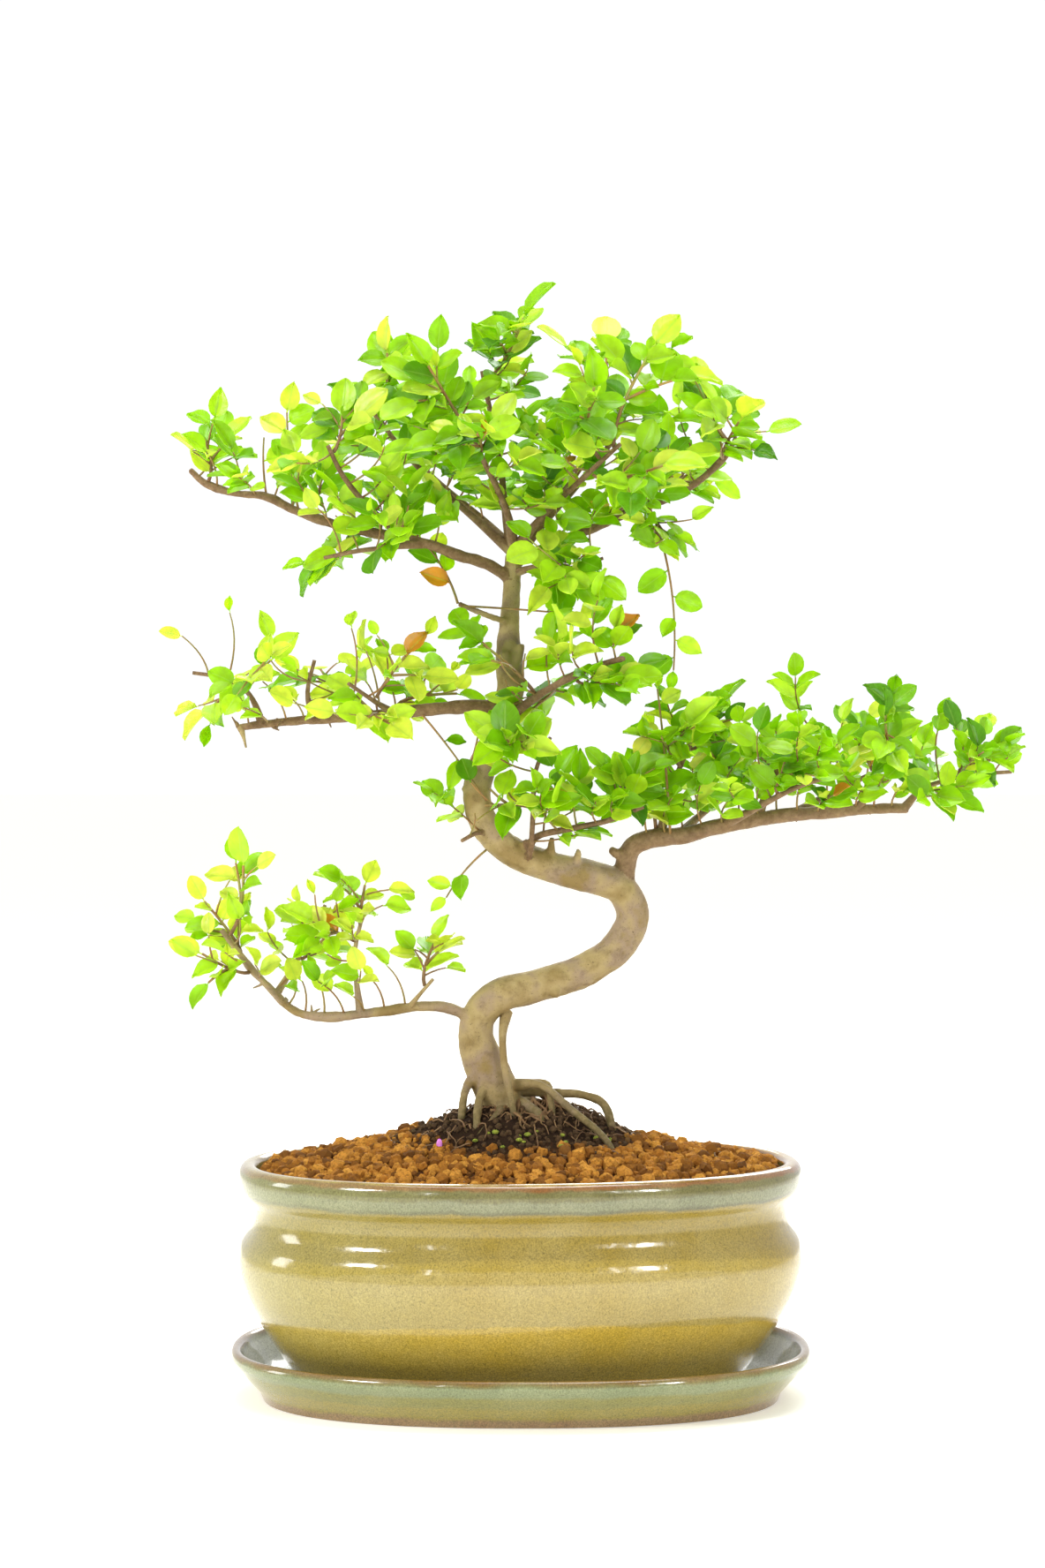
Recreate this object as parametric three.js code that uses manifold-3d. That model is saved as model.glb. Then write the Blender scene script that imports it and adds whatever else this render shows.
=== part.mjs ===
// A sweet plum bonsai in its glazed oval pot on a drip tray.
// Millimetres, +Z up, +X to the right and +Y away from the front.
// The origin is at the centre of the tray's underside.
import * as THREE from 'three';
import { mergeVertices } from 'three/addons/utils/BufferGeometryUtils.js';
import Module from 'manifold-3d';

const wasm = await Module();
wasm.setup();

// Driving dimensions of the pot and the tray.
// An oval's fullness is the exponent of its outline: 2 is an ellipse, more is squarer.
const POT_OVAL = { halfLength: 117.5, halfWidth: 80.5, fullness: 2.25, turn: 0.1 };
const TRAY_OVAL = { halfLength: 120.3, halfWidth: 85, fullness: 2.35, turn: 0 };
const TRAY_FLOOR = 5;
const POT_UNDERSIDE = 9;
const POT_FLOOR = 15;
const POT_LIP = 96.4;
const FIT_GAP = 0.35;
const DRAIN_RADIUS = 7;
const DRAIN_OFFSET = 48;
const FOOT_SLOT_LENGTH = 84;
const FOOT_SLOT_WIDTH = 56;
const NET_SIDE = 22;
const NET_THICKNESS = 1;
const NET_HOLE = 6;
const NET_SPAN = 9;
const DRAIN_SIDES = 16;
const FOOT_SLOT_PLAY = 2;
const OVAL_STEPS = 32;

// Half-length and height of the turned profiles, from the axis under the piece round to the axis above it.
const TRAY_PROFILE = [
  [0, 0], [107, 0], [108.2, 3.2], [116.6, 12.5], [120.3, 17.4], [119.2, 20.3],
  [116.6, 20.3], [114.4, 16.6], [108.6, 7.4], [104.5, TRAY_FLOOR], [0, TRAY_FLOOR],
];
const POT_PROFILE = [
  [0, POT_UNDERSIDE], [78, POT_UNDERSIDE], [80, TRAY_FLOOR], [88, TRAY_FLOOR], [94.5, 11.5], [104, 25],
  [113.5, 41], [117.5, 54], [116.4, 63.5], [112, 71], [111.4, 79], [116.2, 86], [116.8, 93.4],
  [114.6, POT_LIP], [110.6, POT_LIP], [108.8, 93], [106, 76], [109.6, 58], [103, 36], [90, 17.5],
  [82, POT_FLOOR], [0, POT_FLOOR],
];

// The soil: how high it stands at the wall, how it rises towards the trunk, and its coarse grain.
// The rise begins where the foot's multiple of the way to the rim reaches 1.
const SOIL_EDGE = 92.4;
const SOIL_RISE = 13;
const SOIL_HUMP = 15;
const SOIL_HUMP_WIDTH = 0.4;
const SOIL_HUMP_POWER = 3;
const SOIL_FOOT = 1.07;
const SOIL_GRAIN = 1.1;
const SOIL_RINGS = 7;

// The trunk: centre points from the soil to the fork of the crown, with the radius at each.
const TRUNK_SIDES = 9;
const TRUNK_ROUTE = [
  [1, 0, 92, 4], [-3.5, -1, 112, 5.4], [-6.5, -1.5, 118.5, 7.8], [-9.5, -2, 125, 9], [-14.5, -2, 136, 8.9],
  [-18.5, -3, 148, 7.4],
  [-17.5, -3, 157, 7], [-9, -2, 165, 7], [5, 1, 168.5, 7], [27, 6, 175.5, 6.9], [40, 9, 184, 6.8],
  [47, 10, 196.5, 6.9], [42.5, 8, 208.5, 6.8], [28, 4, 214.5, 6.9], [13, 0, 218.5, 6.5],
  [-2, -4, 224, 6.3], [-12.5, -8, 232.5, 6.1], [-18, -10, 246, 5.8], [-17, -9, 256, 6], [-10, -6, 273, 5.7],
  [-4.5, -3, 290, 5.8], [-4.5, -1, 303, 6], [-5, 0, 314, 4.7], [-4, 1, 331, 3.8], [-3, 2, 348, 3.4],
];

// The boughs. A route starts inside what it grows from. Girth is the radius at its start and at its end.
// Only boughs with a pad carry leafy sprays.
const BOUGH_SIDES = 5;
const THIN_BOUGH_SIDES = 4;
const THIN_GIRTH = 2.4;
const BOUGHS = [
  { pad: 'low_left', girth: [2.5, 1.5], route: [
    [-17, -3, 152], [-27, -7, 159.5], [-39, -10, 161.5], [-56, -12, 159.5], [-81, -11, 157],
    [-93, -9, 159], [-102, -8, 167], [-111, -7, 176], [-124, -6, 193],
  ] },
  { pad: 'low_left', girth: [1.4, 0.9], route: [
    [-66, -12, 158.5], [-67.5, -15, 172], [-68, -16, 185], [-65, -15, 199],
  ] },
  { pad: 'low_left', girth: [1.3, 0.9], route: [
    [-101, -8, 166], [-94, 2, 178], [-88, 9, 190], [-82, 12, 202],
  ] },
  { pad: 'low_tip', girth: [1.2, 0.8], route: [[-46, -11, 160.6], [-42, -15, 166], [-36, -18, 173]] },
  { pad: 'left', girth: [3, 1.5], route: [
    [-10, -6, 285], [-29, -8, 284.5], [-55, -9, 282], [-71, -8, 280.5], [-93, -6, 279],
    [-108, -5, 277.5], [-117, -5, 276.5],
  ] },
  { pad: 'left', girth: [1.5, 0.9], route: [
    [-107, -5, 277.5], [-111, -5, 288], [-117, -4, 294.5], [-126, -3, 297.5], [-136, -2, 299],
  ] },
  { pad: 'left', girth: [1.4, 0.9], route: [[-52, -9, 282], [-60, -20, 287], [-70, -29, 294]] },
  { pad: 'left', girth: [1.4, 0.9], route: [[-62, -9, 281], [-68, 5, 288], [-76, 18, 296]] },
  { pad: 'left', girth: [1.3, 0.9], route: [[-86, -7, 279.5], [-88, -8, 291], [-85, -10, 304]] },
  { pad: '', girth: [1.3, 0.5], route: [[-116, -5, 276.7], [-114.5, -6, 272], [-113.5, -7, 268]] },
  { pad: 'right', girth: [4.8, 2.2], route: [
    [43, 8, 208], [43.5, 8, 217], [46, 6, 226], [53, 3, 230], [68, 0, 231.5], [80, -3, 235],
    [106, -6, 239.5], [127, -8, 241.5], [142, -9, 242.5], [160, -10, 243],
  ] },
  { pad: 'right', girth: [1.5, 0.9], route: [
    [158, -10, 243], [166, -9, 251], [185, -7, 256.5], [203, -6, 258],
  ] },
  { pad: 'right', girth: [2, 1], route: [
    [66, 0, 231.5], [76, 16, 240], [92, 28, 250], [112, 34, 258],
  ] },
  { pad: 'right', girth: [1.9, 1], route: [
    [84, -3, 236], [96, -20, 243], [112, -32, 252], [130, -38, 258],
  ] },
  { pad: 'right', girth: [1.8, 1], route: [
    [112, -6, 240], [128, 8, 248], [146, 20, 256], [162, 26, 262],
  ] },
  { pad: 'right', girth: [1.7, 1], route: [[58, 2, 231], [62, 3, 248], [70, 4, 268], [80, 4, 284]] },
  { pad: 'right', girth: [1.7, 1], route: [
    [98, -5, 238.5], [103, -4, 252], [112, -2, 268], [122, 0, 280],
  ] },
  { pad: 'right', girth: [1.5, 0.9], route: [[138, -9, 242], [146, -14, 252], [158, -18, 262]] },
  { pad: 'front', girth: [2.4, 1.2], route: [
    [-9, -6, 276], [0, -18, 284], [12, -30, 292], [28, -38, 300], [42, -40, 304],
  ] },
  { pad: 'front', girth: [2, 1.1], route: [
    [2, -4, 223], [6, -12, 231], [19, -19, 234.5], [35, -23, 238], [50, -27, 244],
  ] },
  { pad: 'front', girth: [1.6, 0.9], route: [
    [2, -3, 221], [4, -14, 226], [5, -20, 240], [6, -24, 258], [12, -30, 272],
  ] },
  { pad: 'front', girth: [1.4, 0.9], route: [[-13, -8, 233], [-18, -18, 233], [-24, -25, 230]] },
  { pad: 'crown', girth: [2.7, 1.3], route: [
    [-4, 1, 338], [-14, -3, 344], [-26, -7, 347.5], [-39, -10, 352], [-73, -10, 359],
    [-91, -8, 365], [-106, -6, 372], [-117, -5, 373], [-130, -4, 377], [-137, -3, 383],
  ] },
  { pad: 'crown', girth: [2.6, 1.2], route: [
    [-3, 2, 345], [12, 6, 351], [25, 8, 357.5], [41, 8, 364.5], [59, 6, 371], [73, 4, 378],
    [84, 3, 388], [90, 2, 397],
  ] },
  { pad: 'crown', girth: [2.2, 1.1], route: [
    [-3, 2, 346], [-6, 2, 362], [-8, 1, 382], [-12, 0, 404], [-16, -2, 424],
  ] },
  { pad: 'crown', girth: [2.1, 1.1], route: [
    [-1, 2, 349], [10, 5, 362], [24, 8, 378], [38, 10, 396], [46, 10, 412],
  ] },
  { pad: 'crown', girth: [2, 1], route: [
    [-4, 2, 350], [-20, 4, 364], [-38, 6, 380], [-54, 8, 398], [-62, 8, 410],
  ] },
  { pad: 'crown', girth: [2, 1], route: [
    [-3, 1, 352], [-6, -14, 366], [-14, -30, 382], [-22, -42, 398],
  ] },
  { pad: 'crown', girth: [2, 1], route: [
    [-2, 1, 351], [10, -12, 364], [26, -28, 378], [40, -40, 390],
  ] },
  { pad: 'crown', girth: [2, 1], route: [
    [-4, 3, 351], [-16, 16, 364], [-34, 32, 380], [-48, 42, 394],
  ] },
  { pad: 'crown', girth: [2, 1], route: [[-2, 3, 350], [8, 16, 364], [22, 34, 382], [32, 48, 398]] },
  { pad: 'crown', girth: [1.8, 1], route: [[20, 7, 355], [38, 20, 366], [56, 32, 378], [68, 38, 388]] },
  { pad: 'crown', girth: [1.8, 1], route: [
    [-46, -10, 353], [-60, -22, 364], [-72, -30, 378], [-78, -34, 390],
  ] },
  { pad: 'low_crown', girth: [1.6, 0.9], route: [
    [-40, -10, 352], [-52, -20, 350], [-66, -26, 348], [-80, -28, 345],
  ] },
  { pad: 'low_crown', girth: [1.5, 0.8], route: [
    [-4, 1, 340], [8, -4, 343], [20, -8, 342], [34, -10, 346],
  ] },
  { pad: 'low_crown', girth: [1.4, 0.8], route: [[46, 8, 366], [54, 0, 360], [60, -6, 350]] },
];

// The surface roots and the one aerial root, from the trunk down into the soil.
const ROOT_SIDES = 4;
const ROOTS = [
  { girth: [2, 1.5], route: [
    [-6, -2, 158], [-7.5, -10, 149], [-6.5, -13.5, 136], [-4, -15, 124], [-1, -16, 106],
  ] },
  { girth: [2.2, 1.4], route: [
    [-2, -3, 128], [4, -8, 129.5], [11, -11, 129], [12.5, -13, 122], [14, -16, 106],
  ] },
  { girth: [2.3, 1.5], route: [
    [-3, -2, 125], [13, -6, 125], [26, -8, 124.5], [34, -8, 121], [37, -9, 114], [39, -9, 100],
  ] },
  { girth: [2.2, 1.4], route: [
    [-4, -5, 128], [8, -12, 129], [21, -20, 119.5], [34, -26, 109], [41, -29, 97],
  ] },
  { girth: [2.8, 1.6], route: [[-4, -6, 123], [5, -13, 119], [10, -20, 113], [14, -24, 101]] },
  { girth: [2.3, 1.4], route: [[-16, -3, 136], [-22, -7, 128], [-24, -11, 120], [-25, -14, 104]] },
  { girth: [2.3, 1.4], route: [[-13, -5, 132], [-17, -12, 123], [-18, -19, 115], [-20, -24, 101]] },
  { girth: [2.6, 1.5], route: [[-6, -6, 120], [-10, -14, 116], [-17, -23, 109.5], [-24, -30, 98]] },
  { girth: [2.4, 1.5], route: [[-4, -6, 119], [0, -16, 114.5], [3, -26, 108], [5, -33, 97]] },
  { girth: [2.6, 1.5], route: [[-4, 3, 122], [14, 14, 116.5], [25, 22, 110], [33, 27, 98]] },
  { girth: [2.6, 1.5], route: [[-6, 4, 121], [-18, 12, 115.5], [-29, 18, 109], [-38, 22, 98]] },
  { girth: [2.4, 1.5], route: [[-5, 5, 121], [-4, 17, 115], [-6, 28, 107.5], [-7, 35, 97]] },
];

// The leafy pads, and the boughs that carry them. A pad's spray tips spread over an ellipsoid round its
// centre, from the share 'top' of its height down to the share 'bottom', and 'leaf' scales its leaves.
const PADS = [
  {
    name: 'crown_tip', wood: 'crown', seed: 5, sprays: 1,
    centre: [-132, -4, 384], reach: [8, 8, 16], top: 0.9, bottom: 0.5, leaf: 0.85,
  },
  {
    name: 'crown', wood: 'crown', seed: 11, sprays: 18,
    centre: [1, 0, 384], reach: [90, 66, 63], top: 1, bottom: -0.15, leaf: 0.95,
  },
  {
    name: 'low_crown', wood: 'low_crown', seed: 23, sprays: 5,
    centre: [-8, -18, 350], reach: [78, 20, 20], top: 0.5, bottom: -0.9, leaf: 0.95,
  },
  {
    name: 'left', wood: 'left', seed: 37, sprays: 6,
    centre: [-78, -4, 290], reach: [54, 32, 21], top: 0.9, bottom: -0.6, leaf: 0.8,
  },
  {
    name: 'front', wood: 'front', seed: 41, sprays: 6,
    centre: [12, -30, 272], reach: [36, 20, 46], top: 0.95, bottom: -0.8, leaf: 0.95,
  },
  {
    name: 'right', wood: 'right', seed: 53, sprays: 10,
    centre: [122, -2, 256], reach: [76, 42, 32], top: 0.95, bottom: -0.35, leaf: 0.88,
  },
  {
    name: 'low_left', wood: 'low_left', seed: 67, sprays: 6,
    centre: [-98, -6, 194], reach: [40, 24, 30], top: 0.95, bottom: -0.5, leaf: 0.78,
  },
  {
    name: 'low_tip', wood: 'low_tip', seed: 71, sprays: 1,
    centre: [-32, -18, 182], reach: [12, 8, 10], top: 0.8, bottom: 0.4, leaf: 0.8,
  },
];

// The rule for the twigs. Shares run along a twig from its start to its end.
const TWIG_RADIUS = 0.85;
const SIDE_TWIG_RADIUS = 0.7;
const TWIG_TAPER = 0.35;
const TWIG_LEAST = 17;
const TWIG_SPACING = 7;
const TWIG_TRIES = 8;
const TWIG_CLEAR = 1.2;
const TWIG_BEND = 0.3;
const TWIG_LIFT = 0.08;
const TWIG_SWAY = 0.07;
const TWIG_PROBES = [0.25, 0.4, 0.55, 0.7, 0.85, 1];
const TIP_REACH = [0.88, 1.04];
const BUD_STEP = 4;
const BARE_SHARE = 0.3;
const PLACES_TRIED = 6;
const SPRAY_RISE = 0.75;
const SPRAY_SPREAD = 0.5;
const PAD_POWER = 2.75;
const SPRAY_FRONT = 0.48;
const SIDE_TWIG_START = 0.56;
const SIDE_TWIG_LENGTH = [0.47, 0.63];
const SIDE_TWIG_FORWARD = 0.6;
const SIDE_TWIG_ASIDE = 0.8;
const SIDE_TWIG_STRAY = 0.3;
const SIDE_TWIG_DROOP = 0.3;
const SIDE_TWIG_PROBES = [0.3, 0.5, 0.75, 1];
const BALL_STEP = 3;
const GOLDEN_ANGLE = Math.PI * (3 - Math.sqrt(5));
const UP = new THREE.Vector3(0, 0, 1);
const FRONT = new THREE.Vector3(0, -1, 0);

// The rule for the leaves. An outline point and a probe are shares of a leaf's length and width.
const PAIR_SHARES = [0.42, 0.74];
const SIDE_PAIR_SHARES = [0.6];
const LEAF_FORWARD = 0.62;
const LEAF_ASIDE = 0.78;
const LEAF_STRAY = [0.45, 0.45, 0.6];
const FACE_STRAY = 0.7;
const FACE_TO_FRONT = 0.35;
const LEAF_SEAT = 0.8;
const LEAF_LENGTH = [15.5, 21.5];
const LEAF_WIDTH = [0.54, 0.66];
const LEAF_THICKNESS = 1.2;
const LEAF_FOLD = 0.22;
const LEAF_ARCH = 0.16;
const LEAF_TRIES = 12;
const LEAF_LEAST_TURN = 0.6;
const LEAF_OUTLINE = [[0.26, 0.4], [0.56, 0.5], [0.84, 0.29]];
const LEAF_SPINE = 0.46;
const LEAF_PROBES = [
  [0.2, 0.25], [0.2, -0.25], [0.3, 0], [0.3, 0.42], [0.3, -0.42], [0.46, 0], [0.46, 0.3], [0.46, -0.3],
  [0.56, 0.5], [0.56, -0.5], [0.64, 0.2], [0.64, -0.2], [0.74, 0.4], [0.74, -0.4], [0.82, 0],
  [0.86, 0.26], [0.86, -0.26], [1, 0],
];
// The stretches of the trunk that no leaf hides from the front, and how far back the leaves keep off.
const BARE_STRETCHES = [
  { x: [-10, 2.5], z: [292.5, 320] },
  { x: [-23, -12], z: [234, 254] },
];
const BARE_BACK = 5;
const CLEAR_OF_LEAVES = 3;
const CLEAR_OF_OWN_LEAVES = 2.4;
const CLEAR_OF_OWN_TWIGS = 1.4;
const CLEAR_OF_WOOD = 2;
const LEAF_FOOT = 4;

const GLAZE = { color: 0x9a8f3c, roughness: 0.15, metalness: 0 };
const TRAY_GLAZE = { color: 0x8a8a55, roughness: 0.2, metalness: 0 };
const GRANULES = { color: 0x9c5a28, roughness: 0.95, metalness: 0 };
const NET = { color: 0x2b2d2a, roughness: 0.6, metalness: 0 };
const BARK = { color: 0x8d7b5f, roughness: 0.85, metalness: 0 };
const LEAF = { color: 0x5fae1f, roughness: 0.45, metalness: 0 };

// Solids and meshes

function toSolid(geometry) {
  const bare = geometry.clone();
  bare.deleteAttribute('normal');
  bare.deleteAttribute('uv');
  const merged = mergeVertices(bare, 1e-4);
  const corners = merged.index.array;
  const kept = [];
  for (let i = 0; i < corners.length; i += 3) {
    const [a, b, c] = [corners[i], corners[i + 1], corners[i + 2]];
    if (a !== b && b !== c && c !== a) kept.push(a, b, c);
  }
  const vertProperties = new Float32Array(merged.attributes.position.array);
  return new wasm.Manifold(new wasm.Mesh({ numProp: 3, vertProperties, triVerts: new Uint32Array(kept) }));
}

// A solid whose faces all point in is turned inside out.
function facingOut(solid) {
  if (solid.volume() >= 0) return solid;
  const mesh = solid.getMesh();
  const turned = new Uint32Array(mesh.triVerts);
  for (let i = 0; i < turned.length; i += 3) [turned[i], turned[i + 1]] = [turned[i + 1], turned[i]];
  const { vertProperties } = mesh;
  return new wasm.Manifold(new wasm.Mesh({ numProp: 3, vertProperties, triVerts: turned }));
}

function toGeometry(solid) {
  const mesh = solid.getMesh();
  const geometry = new THREE.BufferGeometry();
  const places = new Float32Array((mesh.vertProperties.length / mesh.numProp) * 3);
  for (let i = 0; i < places.length / 3; i += 1) {
    const corner = i * mesh.numProp;
    places.set(mesh.vertProperties.subarray(corner, corner + 3), i * 3);
  }
  geometry.setAttribute('position', new THREE.BufferAttribute(places, 3));
  geometry.setIndex(new THREE.BufferAttribute(new Uint32Array(mesh.triVerts), 1));
  geometry.computeVertexNormals();
  return geometry;
}

function joined(solids) {
  return solids.reduce((whole, next) => whole.add(next));
}

// The biggest body of a solid, so that a scrap cut loose by a join is dropped.
function mainBody(solid) {
  const bodies = solid.decompose();
  return bodies.reduce((best, body) => (body.volume() > best.volume() ? body : best));
}

function closedGeometry(points, faces) {
  const geometry = new THREE.BufferGeometry();
  const places = points.flatMap((point) => point.toArray());
  geometry.setAttribute('position', new THREE.Float32BufferAttribute(places, 3));
  geometry.setIndex(faces.flat());
  return geometry;
}

function namedMesh(name, solid, finish) {
  const mesh = new THREE.Mesh(toGeometry(solid), new THREE.MeshStandardMaterial(finish));
  mesh.name = name;
  return mesh;
}

// Seeded draws from 0 to 1

function makeDraw(seed) {
  let state = seed >>> 0;
  return () => {
    state = (state + 0x6d2b79f5) >>> 0;
    let t = state;
    t = Math.imul(t ^ (t >>> 15), t | 1);
    t ^= t + Math.imul(t ^ (t >>> 7), t | 61);
    return ((t ^ (t >>> 14)) >>> 0) / 4294967296;
  };
}

// Oval pieces: a turned profile drawn out into an oval, so that the wall keeps its thickness all round

function signedPower(value, power) {
  return Math.sign(value) * Math.abs(value) ** power;
}

function ovalPoint(oval, angle, inset, height) {
  const { halfLength, halfWidth, fullness, turn } = oval;
  const x = halfLength * signedPower(Math.cos(angle), 2 / fullness);
  const y = halfWidth * signedPower(Math.sin(angle), 2 / fullness);
  const outward = new THREE.Vector3(
    signedPower(x / halfLength, fullness - 1) / halfLength,
    signedPower(y / halfWidth, fullness - 1) / halfWidth,
    0,
  ).normalize();
  const point = new THREE.Vector3(x, y, height).addScaledVector(outward, -inset);
  point.z = height;
  return point.applyAxisAngle(UP, turn);
}

function ovalPiece(profile, oval) {
  const outline = profile.map(([radius, height]) => new THREE.Vector2(radius, height));
  const geometry = new THREE.LatheGeometry(outline, OVAL_STEPS);
  geometry.rotateX(Math.PI / 2);
  const place = geometry.attributes.position;
  for (let i = 0; i < place.count; i += 1) {
    const radius = Math.hypot(place.getX(i), place.getY(i));
    if (radius < 1e-3) {
      place.setXY(i, 0, 0);
    } else {
      const angle = Math.atan2(place.getY(i), place.getX(i));
      const point = ovalPoint(oval, angle, oval.halfLength - radius, place.getZ(i));
      place.setXY(i, point.x, point.y);
    }
  }
  return facingOut(toSolid(geometry));
}

function box(length, width, height, x, y, z, turn = 0) {
  const geometry = new THREE.BoxGeometry(length, width, height);
  geometry.translate(x, y, z);
  geometry.rotateZ(turn);
  return toSolid(geometry);
}

function makeTray() {
  return ovalPiece(TRAY_PROFILE, TRAY_OVAL);
}

function makePot() {
  let pot = ovalPiece(POT_PROFILE, POT_OVAL);
  for (const side of [-1, 1]) {
    const drain = new THREE.CylinderGeometry(DRAIN_RADIUS, DRAIN_RADIUS, POT_FLOOR * 2, DRAIN_SIDES);
    drain.rotateX(Math.PI / 2);
    drain.translate(side * DRAIN_OFFSET, 0, POT_FLOOR);
    drain.rotateZ(POT_OVAL.turn);
    pot = pot.subtract(toSolid(drain));
  }
  // Two slots across the foot ring leave four low feet.
  const slotHeight = POT_UNDERSIDE - TRAY_FLOOR + FOOT_SLOT_PLAY;
  const slotMiddle = POT_UNDERSIDE - slotHeight / 2;
  const across = 2 * POT_OVAL.halfLength;
  pot = pot.subtract(box(across, FOOT_SLOT_WIDTH, slotHeight, 0, 0, slotMiddle, POT_OVAL.turn));
  return pot.subtract(box(FOOT_SLOT_LENGTH, across, slotHeight, 0, 0, slotMiddle, POT_OVAL.turn));
}

function makeNet(side) {
  const middle = POT_FLOOR + NET_THICKNESS / 2;
  const centre = side * DRAIN_OFFSET;
  let net = box(NET_SIDE, NET_SIDE, NET_THICKNESS, centre, 0, middle, POT_OVAL.turn);
  for (const column of [-0.5, 0.5]) {
    for (const row of [-0.5, 0.5]) {
      const [x, y] = [centre + column * NET_SPAN, row * NET_SPAN];
      net = net.subtract(box(NET_HOLE, NET_HOLE, NET_THICKNESS * 3, x, y, middle, POT_OVAL.turn));
    }
  }
  return net;
}

// Soil: it fills the pot inside the wall, and its top is a grainy mound

function moundHeight(x, y) {
  const reach = Math.hypot(x / POT_OVAL.halfLength, y / POT_OVAL.halfWidth) * SOIL_FOOT;
  const slope = SOIL_RISE * Math.max(0, 1 - reach * reach);
  return SOIL_EDGE + slope + SOIL_HUMP * Math.exp(-((reach / SOIL_HUMP_WIDTH) ** SOIL_HUMP_POWER));
}

function grain(x, y) {
  const wave = Math.sin(Math.round(x * 10) * 12.9898 + Math.round(y * 10) * 78.233) * 43758.5453;
  return wave - Math.floor(wave) - 0.5;
}

function makeSoil(wood) {
  const wall = POT_PROFILE.slice(-7, -1).reverse();
  const profile = [[0, POT_FLOOR], ...wall.map(([radius, height]) => [radius - FIT_GAP, height])];
  const widest = profile.at(-1)[0];
  profile[profile.length - 1] = [widest, SOIL_EDGE];
  for (let ring = 1; ring < SOIL_RINGS; ring += 1) {
    profile.push([widest * (1 - ring / SOIL_RINGS), SOIL_EDGE + 1]);
  }
  profile.push([0, SOIL_EDGE + 1]);
  const outline = profile.map(([radius, height]) => new THREE.Vector2(radius, height));
  const geometry = new THREE.LatheGeometry(outline, OVAL_STEPS);
  geometry.rotateX(Math.PI / 2);
  const place = geometry.attributes.position;
  for (let i = 0; i < place.count; i += 1) {
    const [x0, y0, z0] = [place.getX(i), place.getY(i), place.getZ(i)];
    const radius = Math.hypot(x0, y0);
    const onMound = z0 > SOIL_EDGE + 0.5;
    const edge = onMound ? widest : radius;
    const point = ovalPoint(POT_OVAL, Math.atan2(y0, x0), POT_OVAL.halfLength - edge, z0);
    const share = onMound ? radius / widest : 1;
    if (radius < 1e-3) point.set(0, 0, z0);
    const [x, y] = [point.x * share, point.y * share];
    const rough = onMound ? SOIL_GRAIN * 2 * grain(x, y) : 0;
    place.setXYZ(i, x, y, onMound ? moundHeight(x, y) + rough : z0);
  }
  let soil = facingOut(toSolid(geometry)).subtract(wood);
  for (const side of [-1, 1]) {
    const pocket = NET_SIDE + 2 * FIT_GAP;
    const height = NET_THICKNESS + FIT_GAP;
    const centre = side * DRAIN_OFFSET;
    soil = soil.subtract(box(pocket, pocket, 2 * height, centre, 0, POT_FLOOR, POT_OVAL.turn));
  }
  return mainBody(soil);
}

// Wood: round limbs that taper along their routes

function limbStations(route, girths) {
  return route.map(([x, y, z], i) => ({ point: new THREE.Vector3(x, y, z), radius: girths[i] }));
}

function taperedGirths(girth, count) {
  return Array.from({ length: count }, (_, i) => THREE.MathUtils.lerp(girth[0], girth[1], i / (count - 1)));
}

// A limb as a solid. With a swell it is that much larger all round, for the hole that the limb stands in.
function limbSolid(stations, sides, swell = 0) {
  const points = [];
  const faces = [];
  const count = stations.length;
  const uphill = Math.abs(stations[1].point.x - stations[0].point.x)
    < stations[1].point.distanceTo(stations[0].point) * 0.8;
  let side = uphill ? new THREE.Vector3(1, 0, 0) : new THREE.Vector3(0, 1, 0);
  for (let i = 0; i < count; i += 1) {
    const before = stations[Math.max(0, i - 1)].point;
    const after = stations[Math.min(count - 1, i + 1)].point;
    const along = after.clone().sub(before).normalize();
    side = side.clone().addScaledVector(along, -side.dot(along)).normalize();
    const other = along.clone().cross(side);
    const radius = stations[i].radius + swell;
    const centre = stations[i].point.clone();
    if (i === 0) centre.addScaledVector(along, -swell);
    if (i === count - 1) centre.addScaledVector(along, swell);
    for (let k = 0; k < sides; k += 1) {
      const angle = (2 * Math.PI * k) / sides;
      const out = side.clone().multiplyScalar(Math.cos(angle)).addScaledVector(other, Math.sin(angle));
      points.push(centre.clone().addScaledVector(out, radius));
    }
  }
  for (let i = 0; i < count - 1; i += 1) {
    for (let k = 0; k < sides; k += 1) {
      const next = (k + 1) % sides;
      const [a, b, c, d] = [i * sides + k, i * sides + next, (i + 1) * sides + next, (i + 1) * sides + k];
      faces.push([a, b, c], [a, c, d]);
    }
  }
  for (let k = 1; k < sides - 1; k += 1) {
    const last = (count - 1) * sides;
    faces.push([0, k + 1, k], [last, last + k, last + k + 1]);
  }
  return facingOut(toSolid(closedGeometry(points, faces)));
}

function allLimbs() {
  const trunk = { stations: limbStations(TRUNK_ROUTE, TRUNK_ROUTE.map((p) => p[3])), sides: TRUNK_SIDES };
  const boughs = BOUGHS.map(({ route, girth, pad }) => {
    const sides = girth[0] < THIN_GIRTH ? THIN_BOUGH_SIDES : BOUGH_SIDES;
    return { stations: limbStations(route, taperedGirths(girth, route.length)), sides, pad };
  });
  const roots = ROOTS.map(({ route, girth }) => (
    { stations: limbStations(route, taperedGirths(girth, route.length)), sides: ROOT_SIDES }
  ));
  return { trunk, boughs, roots };
}

// Twigs: each pad spreads its spray tips evenly, and each spray grows from the nearest free wood of its pad

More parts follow.
